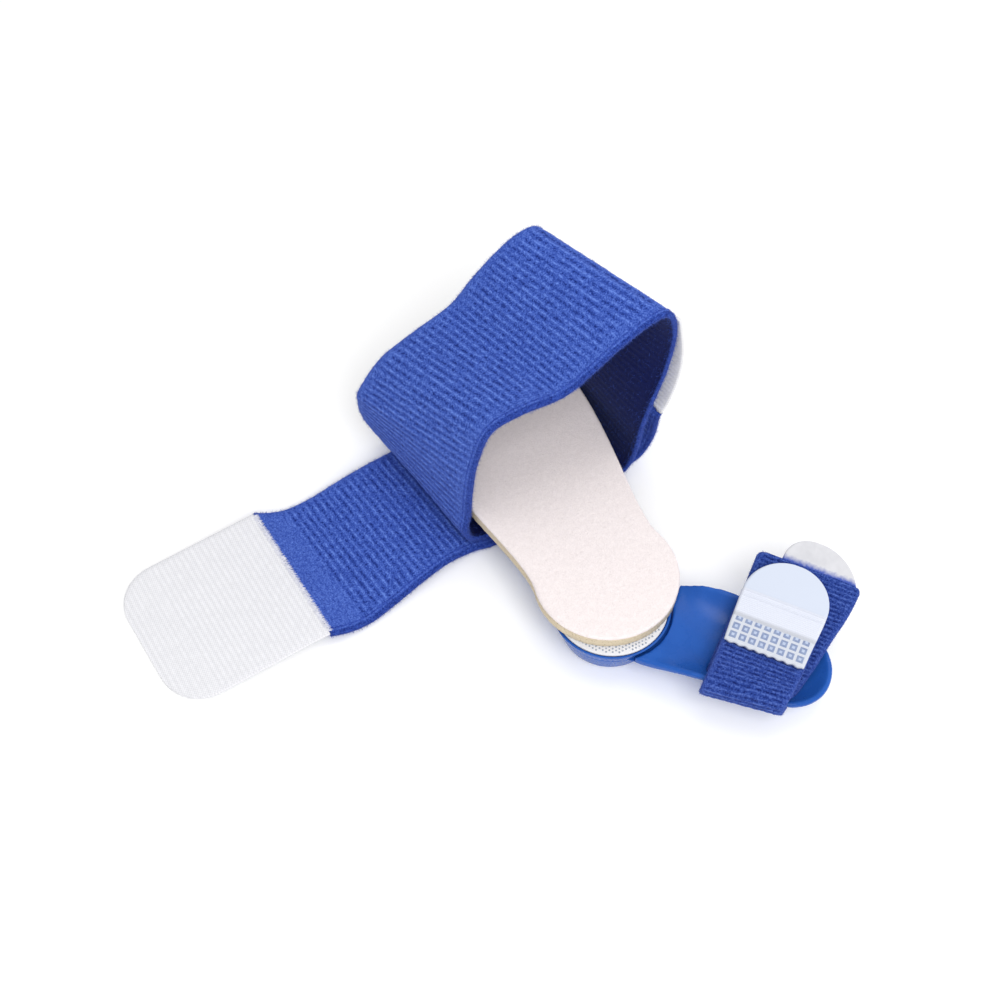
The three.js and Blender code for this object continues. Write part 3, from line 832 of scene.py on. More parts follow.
def face_out(mesh: bpy.types.Mesh) -> None:
    """Turns a closed mesh's faces round if they point inwards.

    Args:
        mesh: the mesh.
    """
    mesh.calc_loop_triangles()
    corners = np.array([v.co for v in mesh.vertices])[np.array([t.vertices for t in mesh.loop_triangles])]
    volume = np.einsum("ij,ij->i", corners[:, 0], np.cross(corners[:, 1], corners[:, 2])).sum()
    if volume < 0:
        mesh.flip_normals()


def quads(rings: int, size: int, closed: bool = False) -> list[tuple[int, ...]]:
    """Faces between rings of points that follow one another.

    Args:
        rings: how many rings there are.
        size: the points in each.
        closed: whether the last ring joins the first.
    Returns:
        The faces.
    """
    faces = []
    for ring in range(rings if closed else rings - 1):
        here, there = ring * size, (ring + 1) % rings * size
        for k in range(size):
            n = (k + 1) % size
            faces.append((here + k, here + n, there + n, there + k))
    return faces


def poled(name: str, rings: Sequence[Array]) -> Piece:
    """A closed body from rings of points between two poles.

    Args:
        name: the object's name.
        rings: the lower pole, each ring of points and the upper pole.
    Returns:
        The object.
    """
    size, faces = len(rings[1]), []
    top = 1 + (len(rings) - 2) * size
    for k in range(size):
        n = (k + 1) % size
        faces.append((0, 1 + n, 1 + k))
        for low in range(1, top - size, size):
            faces.append((low + k, low + n, low + size + n, low + size + k))
        faces.append((top - size + k, top - size + n, top))
    return build(name, np.vstack(rings), faces)


def turned(
    name: str, profile: Sequence[tuple[float, float]], sides: int, phase: float = 0.0, along_x: bool = False
) -> Piece:
    """A closed round body from a profile of radius and height.

    Args:
        name: the object's name.
        profile: radius and height in millimetres, from the lower pole to the upper one.
        sides: steps round.
        phase: the first step's angle in degrees.
        along_x: lays the axis on X.
    Returns:
        The object.
    """
    angles = np.arange(sides) * 2.0 * np.pi / sides + math.radians(phase)
    order = [2, 0, 1] if along_x else [0, 1, 2]
    rings = [[[0.0, 0.0, profile[0][1]]]]
    for radius, height in profile[1:-1]:
        rings.append([[radius * math.cos(a), radius * math.sin(a), height] for a in angles])
    rings.append([[0.0, 0.0, profile[-1][1]]])
    return poled(name, [np.array(ring, float)[:, order] for ring in rings])


@dataclass(frozen=True)
class Course:
    """A band's stations: middle line, half width and distance along, in millimetres."""

    centres: Array
    halves: Array
    arcs: Array
    closed: bool = False

    @classmethod
    def even(cls, place: Places, steps: float, spacing: float, closed: bool = False) -> "Course":
        """Reads a curve at even distances.

        Args:
            place: gives middles and half widths for steps.
            steps: the last step.
            spacing: the distance wanted between stations.
            closed: whether the curve joins its start.
        Returns:
            The course.
        """
        dense = np.linspace(0.0, steps, int(steps * DENSE_STEPS) + 1)
        run = np.concatenate([[0.0], np.cumsum(np.linalg.norm(np.diff(place(dense)[0], axis=0), axis=1))])
        count = max(int(round(run[-1] / spacing)), 4)
        arcs = np.linspace(0.0, run[-1], count + 1)
        arcs = arcs[:-1] if closed else arcs
        centres, halves = place(np.interp(arcs, run, dense))
        return cls(centres, halves, arcs, closed)

    @property
    def length(self) -> float:
        """The whole length along the middle."""
        steps = np.linalg.norm(np.diff(self.centres, axis=0), axis=1)
        return float(steps.sum() + (steps[-1] if self.closed else 0.0))

    def grid(self, shares: Array) -> tuple[Array, Array, Array]:
        """Reads the band at each station and share of its half width.

        Args:
            shares: shares of the half width, from -1 to 1.
        Returns:
            Places, normals and directions ahead.
        """
        place = self.centres[:, None] + self.halves[:, None] * shares[None, :, None]
        if self.closed:
            ahead = np.roll(place, -1, 0) - np.roll(place, 1, 0)
        else:
            ahead = np.gradient(place, axis=0)
        side = unit(self.halves)[:, None]
        return place, unit(np.cross(ahead, np.broadcast_to(side, ahead.shape))), unit(ahead)

    def spot(self, arc: float, across: float, lift: float) -> Spot:
        """One place on the band, with its direction ahead and its normal.

        Args:
            arc: the distance along, in millimetres.
            across: the distance from the middle.
            lift: the height above the middle layer.
        Returns:
            The place, the direction ahead and the normal.
        """
        at = int(np.clip(np.searchsorted(self.arcs, arc), 1, len(self.arcs) - 1))
        share = (arc - self.arcs[at - 1]) / (self.arcs[at] - self.arcs[at - 1])
        centre = self.centres[at - 1] * (1 - share) + self.centres[at] * share
        side = unit(self.halves[at - 1] * (1 - share) + self.halves[at] * share)
        ahead = unit(self.centres[at] - self.centres[at - 1])
        normal = unit(np.cross(ahead, side))
        return centre + side * across + normal * lift, ahead, normal


@dataclass(frozen=True)
class Band:
    """How a band is skinned: its thickness, steps across and rounded edges, in millimetres."""

    thick: float
    steps: int
    edge_steps: int = 4
    hem: float = 0.0
    relief: Relief | None = None
    slide: Relief | None = None
    plain_start: float = 0.0
    # Whether the inner face gets calmer ribs and painted shade.
    calm_shaded_inside: bool = False
    stitched: bool = False
    back_hem: float = 2.0
    plain_run: float = 3.0
    inner_calm: float = 0.4
    edge_nap: float = 9.0
    edge_nap_reach: float = 0.6
    off_hem: float = 10.0

    def skin(self, name: str, course: Course, turn: float = 0.0) -> Piece:
        """Builds the band as one closed mesh.

        Args:
            name: the piece's name.
            course: the band's stations.
            turn: turns the whole band round the hinge axis, in degrees.
        Returns:
            The object, with arc, across, calm and nap stored on its points.
        """
        shares = np.linspace(-1.0, 1.0, self.steps)
        place, normal, ahead = course.grid(shares)
        reach = np.linalg.norm(course.halves, axis=1)[:, None]
        across = shares[None] * reach
        arc = np.broadcast_to(course.arcs[:, None], across.shape)
        if self.slide:
            place = place + ahead * self.slide(arc, across)[..., None]
        half = self.thick / 2.0
        top = half + (self.relief(arc, across) if self.relief else 0.0 * across)
        upper, lower = place + normal * top[..., None], place - normal * half
        angles = np.radians(np.linspace(90.0, -90.0, self.edge_steps + 2)[1:-1])
        side = unit(course.halves)[:, None]
        up, out = (np.sin(angles) * half)[None, :, None], (np.cos(angles) * half * 0.8)[None, :, None]
        right = place[:, -1:] + normal[:, -1:] * up + side * out
        left = place[:, :1] - normal[:, :1] * up - side * out
        ring = np.concatenate([upper, right, lower[:, ::-1], left], axis=1)
        wide = np.concatenate([
            across, np.repeat(across[:, -1:], self.edge_steps, 1),
            across[:, ::-1], np.repeat(across[:, :1], self.edge_steps, 1),
        ], axis=1)
        arcs = np.broadcast_to(course.arcs[:, None], wide.shape)
        inside = reach - np.abs(wide)
        back = wide > 0.0
        calm = np.ones_like(wide)
        if self.hem:
            calm = np.clip(inside / self.hem * np.where(back, self.back_hem, 1.0), 0.15, 1.0)
        if self.plain_start:
            calm = calm * np.clip((arcs - self.plain_start) / self.plain_run, 0.1, 1.0)
        # The inner face gets calmer ribs and painted shade, through the inner value.
        inside_calm_and_shade = np.zeros(ring.shape[1])
        inside_calm_and_shade[self.steps + self.edge_steps:2 * self.steps + self.edge_steps] = 1.0
        inside_calm_and_shade = np.broadcast_to(inside_calm_and_shade * self.calm_shaded_inside, wide.shape)
        calm = calm * (1.0 - (1.0 - self.inner_calm) * inside_calm_and_shade)
        nap = 1.0 + self.edge_nap * (inside < self.edge_nap_reach)
        inset = inside + (0.0 if self.stitched else self.off_hem) + self.off_hem * back
        values = {
            "arc": arcs.ravel() * MM, "across": wide.ravel() * MM, "calm": calm.ravel(),
            "nap": nap.ravel(), "inset": inset.ravel() * MM, "inner": inside_calm_and_shade.ravel(),
        }
        faces = self._faces(len(course.arcs), ring.shape[1], course.closed)
        return build(name, turn_toe(ring.reshape(-1, 3), turn), faces, values)

    def _faces(self, count: int, size: int, closed: bool) -> list[tuple[int, ...]]:
        """The skin's faces, with both ends closed where the band is open.

        Args:
            count: how many stations there are.
            size: the points round each.
            closed: whether the band joins its start.
        Returns:
            The faces.
        """
        faces = quads(count, size, closed)
        if closed:
            return faces
        n, e = self.steps, self.edge_steps
        strip = [(j, j + 1, 2 * n + e - 2 - j, 2 * n + e - 1 - j) for j in range(n - 1)]
        strip.append(tuple(range(n - 1, n + e + 1)))
        strip.append((*range(2 * n + e - 1, 2 * n + 2 * e), 0))
        last = (count - 1) * size
        faces += [tuple(reversed(f)) for f in strip]
        faces += [tuple(last + k for k in f) for f in strip]
        return faces


@dataclass(frozen=True)
class Tongue:
    """A tab along a line, with round corners at its tip, in millimetres."""

    line: Array
    side: Array
    width: float
    corner: float
    base: float = 1.0
    last_angle: float = 86.0
    tip_steps: int = 26

    def course(self, spacing: float) -> Course:
        """The tab's stations, closer together at its tip.

        Args:
            spacing: the distance between stations before the tip.
        Returns:
            The tab's course.
        """
        chords = np.concatenate([[0.0], np.cumsum(np.linalg.norm(np.diff(self.line, axis=0), axis=1))])
        length = chords[-1]
        straight = max(length - self.corner, 0.0)
        first = 0.0 if length > self.corner else math.asin(1.0 - length / self.corner)
        cut = self.corner - length if length < self.corner else 0.0
        angles = np.linspace(first, math.radians(self.last_angle), self.tip_steps)
        ends = straight + self.corner * np.sin(angles) - cut
        count = max(int(straight / spacing), 1)
        body = np.linspace(0.0, straight, count + 1)[:-1] if straight > 0 else np.array([])
        arcs = np.concatenate([body, ends])
        into = np.clip(arcs - (length - self.corner), 0.0, self.corner)
        pulled = self.corner - np.sqrt(self.corner**2 - into**2)
        flare = self.base + (1.0 - self.base) * np.minimum(arcs / (length / 2.0), 1.0)
        halves = (self.width / 2.0 * flare - pulled)[:, None] * unit(self.side)[None]
        return Course(cubic(chords, self.line, arcs), halves, arcs)


def drop(*helpers: Piece) -> None:
    """Removes shapes that only helped to build others."""
    for helper in helpers:
        bpy.data.objects.remove(helper)


def studded(name: str, spots: Sequence[Spot], shape: Piece, material: Material, turn: float = 0.0) -> Piece:
    """Puts one shape on each spot and removes the shape.

    Args:
        name: the piece's name.
        spots: each place with its directions ahead and up, in millimetres.
        shape: the shape, its X axis ahead and its Z axis up.
        material: the piece's material.
        turn: turns all of it round the hinge axis, in degrees.
    Returns:
        The piece.
    """
    places, ahead, up = (turn_toe(np.array([s[i] for s in spots]), turn) for i in range(3))
    piece = build(name, places, [], {"ahead": ahead, "up": up})
    row_tree(material, shape).apply(piece)
    drop(shape)
    return piece


def twin(name: str, source: Piece) -> Piece:
    """Links a new piece with a copy of another's mesh.

    Args:
        name: the new piece's name.
        source: the piece to copy.
    Returns:
        The new piece.
    """
    piece = bpy.data.objects.new(name, source.data.copy())
    bpy.context.scene.collection.objects.link(piece)
    return piece


@dataclass(frozen=True)
class Nap:
    """Short fibres over a surface: root, radius and length in millimetres, then how they are strewn."""

    root: float
    radius: float
    length: float
    density: float
    lean: float

    def make(self, name: str, source: Piece, yarn: Material, seed: int) -> Piece:
        """Strews the nap of one piece.

        Args:
            name: the nap's name.
            source: the piece that it grows on.
            yarn: the fibres' material.
            seed: the strewing's seed.
        Returns:
            The nap.
        """
        piece = twin(name, source)
        fibre = turned("fibre_shape", [(0.0, -self.root), (self.radius, 0.0), (0.0, self.length)], 3)
        nap_tree(yarn, fibre, self.density, self.lean, seed).apply(piece)
        drop(fibre)
        return piece


def keep(piece: Piece, body: Body, slot: Slot, *stands_for: str) -> Piece:
    """Hands a finished piece to its body and CAD nodes, and reports it.

    Args:
        piece: the piece.
        body: the body that it rides.
        slot: its material slot; not used.
        stands_for: the CAD nodes it replaces.
    Returns:
        The same piece.
    """
    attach(piece, body.value)
    if stands_for:
        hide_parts(*stands_for)
    LOG.info("%s: %d faces", piece.name, len(piece.data.polygons))
    return piece


def dress(piece: Piece, material: Material) -> Piece:
    """Gives a piece its one material.

    Args:
        piece: the piece.
        material: the material.
    Returns:
        The same piece.
    """
    piece.data.materials.clear()
    piece.data.materials.append(material)
    return piece


def made(finish: type, *values: object) -> Material:
    """A palette entry: a finish that is built with the palette."""
    return field(default_factory=lambda: finish(*values).make())


@dataclass(frozen=True)
class Palette:
    """The finishes that several pieces share."""

    knit: Material = made(Knit)
    narrow_knit: Material = made(
        Knit, "narrow_rib_knit", (0.005, 0.013, 0.11), (0.02, 0.049, 0.26), (0.08, 0.145, 0.48))
    plastic: Material = made(Moulded)
    foam: Material = made(Foam)
    fleece: Material = made(Fleece)
    steel: Material = made(Steel)
    tape: Material = made(HookTape, "white_hook_tape", (0.62, 0.62, 0.65), (0.84, 0.84, 0.87))
    grey_tape: Material = made(HookTape, "grey_hook_tape", (0.7, 0.7, 0.71), (0.88, 0.88, 0.89), 0.8 * MM)
    blue_yarn: Material = made(Yarn, "blue_nap", (0.028, 0.065, 0.37), (0.08, 0.15, 0.6))
    hem_yarn: Material = made(Yarn, "hem_thread", (0.02, 0.045, 0.3), (0.05, 0.11, 0.5))
    white_yarn: Material = made(Yarn, "white_thread", (0.66, 0.67, 0.75), (0.8, 0.8, 0.86))
    # The hook loops are painted grey-blue, darker than the tape: painted shade among the hooks.
    hook_shade_yarn: Material = made(Yarn, "hook_loops", (0.24, 0.29, 0.38), (0.46, 0.5, 0.58))
    weld: Material = made(Yarn, "weld_square", (0.21, 0.26, 0.42), (0.28, 0.34, 0.5))
    weld_core: Material = made(Yarn, "weld_core", (0.43, 0.5, 0.66), (0.51, 0.58, 0.72))


# The arm's body


@dataclass(frozen=True)
class Hourglass:
    """The outline of the arm or the pad: a round end, a waist and a wider round end."""

    middle: float
    end_radius: float
    end_centre: float
    width: float
    length: float
    leave: float = 15.0

    @property
    def shoulder(self) -> float:
        """Where the wider end's centre lies."""
        return self.end_centre - self.end_radius + self.length - self.width / 2.0

    def outline(self) -> tuple[Array, Array]:
        """Draws the outline.

        Returns:
            The outline's points and, for each, the point of the spine that it is filled from.
        """
        wide, leave, rise = self.width / 2.0, math.radians(self.leave), self.shoulder - self.end_centre
        toe = np.radians(self.leave) - np.linspace(0.0, math.pi + 2.0 * leave, 110)
        ends = np.stack([np.cos(toe), np.sin(toe)], 1) * self.end_radius + [self.middle, self.end_centre]
        t = np.linspace(0.0, 1.0, 64)[1:, None]
        foot = ends[-1]
        pull = [self.middle - self.end_radius * math.cos(leave) + rise * 0.035, foot[1] + rise * 0.16]
        near = [self.middle - wide, self.shoulder - rise * 0.4]
        last = [self.middle - wide, self.shoulder]
        curve = foot * (1 - t)**3 + np.array(pull) * 3 * t * (1 - t)**2 + np.array(near) * 3 * t**2 * (1 - t)
        left = curve + np.array(last) * t**3
        heel = np.linspace(math.pi, 0.0, 100)[1:]
        heels = np.stack([np.cos(heel), np.sin(heel)], 1) * wide + [self.middle, self.shoulder]
        right = left[::-1][1:] * [-1, 1] + [2 * self.middle, 0]
        line = np.vstack([ends, left, heels, right])
        along = np.clip(line[:, 1], self.end_centre, self.shoulder)
        return line, np.stack([np.full(len(line), self.middle), along], 1)

    def area(self) -> float:
        """The outline's area in square millimetres."""
        x, y = self.outline()[0].T
        return 0.5 * abs(float(np.dot(x, np.roll(y, -1)) - np.dot(y, np.roll(x, -1))))

    def slab(
        self, name: str, profile: Sequence[tuple[float, float]], caps: int, nap_rim: float = 1.0
    ) -> Piece:
        """A closed layer of the outline.

        Args:
            name: the object's name.
            profile: inset and height of each step up the side wall.
            caps: steps from the rim to the spine on both faces.
            nap_rim: how much thicker the nap is on the side wall.
        Returns:
            The object.
        """
        line, spine = self.outline()
        reach = np.linalg.norm(line - spine, axis=1, keepdims=True)
        inner = [k / caps for k in range(caps)]
        steps = [(share, profile[0], 1.0) for share in inner] + [(1.0, step, nap_rim) for step in profile]
        steps += [(share, profile[-1], 1.0) for share in reversed(inner)]
        count = len(line)
        rows = []
        for share, (inset, height), _ in steps:
            ring = spine + (line - spine) * (1 - inset / reach) * share
            rows.append(np.column_stack([ring, np.full(count, height)]))
        nap = np.repeat(np.array([step[2] for step in steps]), count)
        piece = build(name, np.vstack(rows), quads(len(rows), count), {"nap": nap})
        piece.modifiers.new("weld", "WELD").merge_threshold = SPINE_WELD * MM
        plain(piece)
        face_out(piece.data)
        return piece


@dataclass
class Arm:
    """The moulded arm with its pin and the hook tape that holds the pad."""

    palette: Palette
    head_radius: float = 17.7
    rim_width: float = 0.6
    tape_floor: float = 12.1
    tape_thick: float = 0.9
    strip_width: float = 33.0
    strip_from: float = 19.0
    strip_to: float = 88.0
    strip_corner: float = 8.0
    bevel: float = 0.22
    disc_gap: float = 0.3
    disc_bare: float = 0.7
    disc_pitch: float = 1.1
    strip_bare: float = 1.5
    strip_end_bare: float = 3.0
    strip_pitch: float = 2.0
    tape_soft: float = 0.15
    row_share: float = 0.87

    def make(self) -> None:
        """Builds the arm's pieces."""
        self.plate()
        dress(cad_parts["hinge_pin"], self.palette.steel)
        self.tape_pieces()

    def plate(self) -> None:
        """The arm's plate and rimmed head, with softened edges."""
        piece = twin("arm_plate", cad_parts["midfoot_arm"])
        piece.modifiers.new("weld", "WELD").merge_threshold = PLATE_WELD * MM
        soften(piece, self.bevel)
        keep(dress(piece, self.palette.plastic), Body.ARM, Slot.PLASTIC, "midfoot_arm")

    def tape_pieces(self) -> None:
        """The round and the long piece of hook tape."""
        radius = self.head_radius - self.rim_width - self.disc_gap
        low, high, soft = self.tape_floor, self.tape_floor + self.tape_thick, self.tape_soft
        profile = [(0.0, low), (radius * 0.5, low), (radius - soft, low), (radius, low + soft),
                   (radius, high - soft), (radius - soft, high), (radius * 0.5, high), (0.0, high)]
        disc = turned("hook_round", profile, 96)
        spots = [(x, y) for x, y in self.grid(-radius, radius, -radius, radius, self.disc_pitch)
                 if math.hypot(x, y) < radius - self.disc_bare]
        keep(dress(disc, self.palette.tape), Body.ARM, Slot.HOOK, "hook_disc")
        keep(self.hooks("hook_round_loops", spots, high), Body.ARM, Slot.HOOK)
        strip = self.strip(low, high)
        keep(dress(strip, self.palette.tape), Body.ARM, Slot.HOOK, "hook_strip")
        half, bare = self.strip_width / 2.0 - self.strip_bare, self.strip_end_bare
        spots = self.grid(-half, half, self.strip_from + bare, self.strip_to - bare, self.strip_pitch)
        keep(self.hooks("hook_strip_loops", spots, high), Body.ARM, Slot.HOOK)

    def grid(self, x0: float, x1: float, y0: float, y1: float, pitch: float) -> list[tuple[float, float]]:
        """Places in staggered rows.

        Args:
            x0: where each row starts.
            x1: where it ends.
            y0: the first row.
            y1: where the rows end.
            pitch: from place to place.
        Returns:
            The places.
        """
        places = []
        for row, y in enumerate(np.arange(y0, y1, pitch * self.row_share)):
            places += [(float(x), float(y)) for x in np.arange(x0 + (row % 2) * pitch / 2.0, x1, pitch)]
        return places

    def hooks(self, name: str, spots: Sequence[tuple[float, float]], level: float) -> Piece:
        """Low hook loops on a level tape.

        Args:
            name: the piece's name.
            spots: where they stand.
            level: the tape's height in millimetres.
        Returns:
            The piece.
        """
        loop = turned("hook_shape", [(0.0, -0.05), (0.3, -0.04), (0.26, 0.12), (0.0, 0.2)], 7)
        up, ahead = np.array([0.0, 0.0, 1.0]), np.array([1.0, 0.0, 0.0])
        spots = [(np.array([x, y, level]), ahead, up) for x, y in spots]
        # Painted shade: the loops take the darker grey-blue yarn.
        return studded(name, spots, loop, self.palette.hook_shade_yarn)

    def strip(self, low: float, high: float) -> Piece:
        """The long piece of tape, with round corners.

        Args:
            low: its underside's height.
            high: its face's height.
        Returns:
            The piece.
        """
        half, corner = self.strip_width / 2.0, self.strip_corner
        middle = (self.strip_from + self.strip_to) / 2.0
        tall = (self.strip_to - self.strip_from) / 2.0
        line = []
        for cx, cy, start in ((1, -1, -90), (1, 1, 0), (-1, 1, 90), (-1, -1, 180)):
            for angle in np.radians(np.linspace(start, start + 90, 14)):
                line.append((cx * (half - corner) + corner * math.cos(angle),
                             middle + cy * (tall - corner) + corner * math.sin(angle)))
        outline = np.array(line)
        ends = np.roll(outline, -1, 0)
        outline = np.vstack([np.linspace(a, b, 9)[:-1] for a, b in zip(outline, ends)])
        centre, soft = np.array([0.0, middle]), self.tape_soft
        rows = [np.array([[0.0, middle, low]])]
        for share, height in ((0.5, low), (0.995, low), (1.0, low + soft), (1.0, high - soft), (0.995, high),
                              (0.5, high)):
            ring = centre + (outline - centre) * share
            rows.append(np.column_stack([ring, np.full(len(outline), height)]))
        return poled("hook_long", [*rows, np.array([[0.0, middle, high]])])


def soften(piece: Piece, width: float) -> None:
    """Rounds a hard body's edges and shades it smooth between them.

    Args:
        piece: the body.
        width: the rounding in millimetres.
    """
    bevel = piece.modifiers.new("edges", "BEVEL")
    bevel.width, bevel.segments = width * MM, 3
    bevel.limit_method, bevel.angle_limit = "ANGLE", math.radians(38.0)
    bevel.harden_normals = False
    plain(piece)
    piece.data.polygons.foreach_set("use_smooth", [True] * len(piece.data.polygons))
    piece.data.set_sharp_from_angle(angle=math.radians(40.0))


@dataclass
class Pad:
    """The hourglass pad: a foam layer with a fleece face."""

    palette: Palette
    shape: Hourglass = Hourglass(2.1, 21.3, 6.9, 53.2, 114.0)
    foam_floor: float = 13.3
    foam_thick: float = 3.6
    fleece_floor: float = 16.98
    fleece_thick: float = 1.3
    nap: Nap = Nap(0.05, 0.036, 0.55, 1.9e6, 1.2)
    nap_seed: int = 11

    def make(self) -> None:
        """Builds the foam, the fleece and its nap."""
        low, high = self.foam_floor, self.foam_floor + self.foam_thick
        sides = [(0.35, low), (0.05, low + 0.3), (0.25, low + 1.2), (0.1, low + 1.9), (0.3, low + 2.6),
                 (0.0, high - 0.3), (0.3, high)]
        foam = self.shape.slab("foam_layer", sides, 10)
        rough_tree(self.palette.foam, 0.9 * MM, 0.5 * MM).apply(foam)
        keep(foam, Body.ARM, Slot.FOAM, "pad_foam")
        low, high = self.fleece_floor, self.fleece_floor + self.fleece_thick
        sides = [(0.2, low), (0.0, low + 0.25), (-0.15, low + 0.6), (0.05, high - 0.3), (0.45, high)]
        fleece = self.shape.slab("fleece_face", sides, 34, 3.0)
        rough_tree(self.palette.fleece, 1.0 * MM, 0.2 * MM).apply(fleece)
        keep(fleece, Body.ARM, Slot.FLEECE, "pad_fleece")
        nap = self.nap.make("fleece_nap", fleece, self.palette.fleece, self.nap_seed)
        keep(nap, Body.ARM, Slot.FLEECE)
        self.shape.area() * MM * MM


@dataclass
class MidfootStrap:
    """The wide knitted strap: a standing loop, the band below it and the tabs at its ends."""

    palette: Palette
    width: float = 48.5
    thick: float = 2.4
    station: float = 67.3
    offset: float = 1.2
    span: float = 70.0
    rise: float = 71.0
    tail_reach: float = 77.8
    seam: float = 0.15
    tab_thick: float = 1.3
    tab_length: float = 48.5
    tab_turn: float = 2.0
    tab_corner: float = 13.0
    rib_pitch: float = 2.3
    rib_depth: float = 0.3
    rib_steps: int = 6
    stitch_inset: float = 1.3
    stitch_pitch: float = 1.9
    brush: Nap = Nap(0.1, 0.055, 1.25, 4.9e5, 1.25)
    band_steps: int = 44
    tab_steps: int = 46
    tab_spacing: float = 0.42
    link: float = 3.2
    waver: float = 0.4
    thread_pitch: float = 0.11
    thread_seed: int = 5
    # across and up as shares of span and rise, then turn and tip in degrees
    loop_rows: tuple = (
        (0.0, 0.0, 3, 0), (-0.25, 0.0, 4, 0), (-0.38, 0.03, 6, 1), (-0.436, 0.12, 10, 3),
        (-0.446, 0.22, 14, 4), (-0.443, 0.36, 16, -3), (-0.424, 0.48, 18, -10), (-0.336, 0.64, 15, -14),
        (-0.193, 0.7, 14, -12),
        (-0.004, 0.74, 14, -6), (0.113, 0.83, 15, -2), (0.224, 0.92, 17, -1), (0.333, 0.985, 20, 0),
        (0.42, 1.0, 21, 0), (0.462, 0.95, 21, 0), (0.483, 0.82, 20, 0), (0.474, 0.64, 17, 0),
        (0.449, 0.46, 12, 0),
        (0.434, 0.31, 8, 0), (0.432, 0.16, 5, 0), (0.4, 0.045, 3, 0), (0.3, 0.0, 3, 0),
    )
    # out as a share of the tail's reach, up, back, turn and width share
    tail_rows: tuple = (
        (1.0, 0.035, 0.18, 4, 1.0), (0.93, 0.014, 0.2, 5, 0.985), (0.85, 0.004, 0.205, 7, 0.965),
        (0.74, 0.012, 0.185, 8, 0.93), (0.6, 0.028, 0.145, 9, 0.9), (0.48, 0.027, 0.11, 9, 0.885),
        (0.36, 0.01, 0.085, 8, 0.9), (0.25, 0.003, 0.075, 6, 0.95),
    )
    # across as a share of the span, then as the tail's rows
    outer_rows: tuple = (
        (0.0, 0.002, 0.03, 6, 1.0), (0.27, 0.003, -0.03, 7, 1.0), (0.4, 0.012, -0.066, 8, 1.0),
        (0.471, 0.064, -0.055, 8, 1.0), (0.514, 0.187, -0.038, 8, 1.0), (0.52, 0.32, -0.024, 8, 1.0),
        (0.523, 0.363, -0.018, 9, 1.0),
    )
    # across, up and turn of the closure tab
    closure_rows: tuple = (
        (0.53, 0.373, 9), (0.549, 0.42, 10), (0.57, 0.53, 12), (0.569, 0.631, 15), (0.558, 0.742, 17),
        (0.535, 0.834, 19), (0.516, 0.9, 20.5), (0.504, 0.945, 21),
    )
    closure_back: float = -0.01

    def make(self) -> None:
        """Builds the straps, their stitches and nap, and both tabs."""
        loop, sole = self.loop_course(), self.sole_course()
        skin = Band(self.thick, self.band_steps, hem=6.0, calm_shaded_inside=True, stitched=True)
        tail = Band(self.thick, self.band_steps, hem=3.4, plain_start=9.0, stitched=True)
        loop_piece = self.ribs(self.pitch_for(loop.length), 1.0).apply(skin.skin("strap_loop", loop))
        sole_piece = self.ribs(self.rib_pitch, 7.0).apply(tail.skin("strap_sole", sole))
        LOG.info("loop %.1f mm, sole band %.1f mm", loop.length, sole.length)
        keep(loop_piece, Body.ARM, Slot.KNIT, "midfoot_strap")
        keep(sole_piece, Body.ARM, Slot.KNIT)
        stitches = [self.stitches("loop_stitches", loop), self.stitches("sole_stitches", sole)]
        naps = [self.brush.make("loop_nap", loop_piece, self.palette.blue_yarn, 21),
                self.brush.make("sole_nap", sole_piece, self.palette.blue_yarn, 22)]
        for piece in stitches + naps:
            keep(piece, Body.ARM, Slot.KNIT)
        self.free_tab(sole)
        self.closure_tab()

    def ribs(self, pitch: float, seed: float) -> ShapeTree:
        """The ribs of the wide strap, at a pitch in millimetres."""
        return rib_tree(self.palette.knit, pitch * MM, self.rib_depth * MM, self.link * MM, self.waver, seed)

    def pitch_for(self, length: float) -> float:
        """The rib pitch that fits a closed loop a whole number of times."""
        return length / round(length / self.rib_pitch)

    def place(self, beside: Array, back: Array | float, up: Array) -> Array:
        """Places from the distance beside the middle, back as a share of the width, and up."""
        return np.stack([self.offset + beside, self.station - (back + 0 * beside) * self.width, up], -1)

    def loop_course(self) -> Course:
        """Reads the loop's stations.

        Returns:
            The course, closed.
        """
        lowest = 1.5 * self.thick - self.seam

        def read(steps: Array) -> tuple[Array, Array]:
            """Reads the loop's rows.

            Args:
                steps: row numbers.
            Returns:
                Middles and half widths.
            """
            across, up, turn, tip = walk(self.loop_rows, steps, True).T
            places = self.place(across * self.span, 0.0, lowest + up * self.rise)
            return places, half_width(self.width, turn, tip)

        return Course.even(read, len(self.loop_rows), self.rib_pitch / self.rib_steps, True)

    def sole_course(self) -> Course:
        """Reads the stations of the tail and of the outer layer.

        Returns:
            The course.
        """
        rows = [(-row[0] * self.tail_reach, *row[1:]) for row in self.tail_rows]
        rows += [(row[0] * self.span, *row[1:]) for row in self.outer_rows]

        def read(steps: Array) -> tuple[Array, Array]:
            """Reads the band's rows.

            Args:
                steps: row numbers.
            Returns:
                Middles and half widths.
            """
            beside, up, back, turn, wide = walk(rows, steps).T
            places = self.place(beside, back, self.thick / 2.0 + up * self.rise)
            return places, half_width(self.width * wide, turn)

        return Course.even(read, len(rows) - 1, self.rib_pitch / self.rib_steps)

    def stitches(self, name: str, course: Course) -> Piece:
        """A line of lying stitches along the front edge, on the outer face.

        Args:
            name: the piece's name.
            course: the band that they are sewn in.
        Returns:
            The piece.
        """
        profile = [(0.0, -0.8), (0.13, -0.62), (0.2, 0.0), (0.13, 0.62), (0.0, 0.8)]
        stitch = turned("stitch_shape", profile, 6, along_x=True)
        spots = []
        for arc in np.arange(1.0, course.arcs[-1] - 1.0, self.stitch_pitch):
            at = int(np.searchsorted(course.arcs, arc))
            edge = float(np.linalg.norm(course.halves[min(at, len(course.halves) - 1)])) - self.stitch_inset
            spots.append(course.spot(float(arc), -edge, self.thick / 2.0 - 0.1))
        return studded(name, spots, stitch, self.palette.hem_yarn)

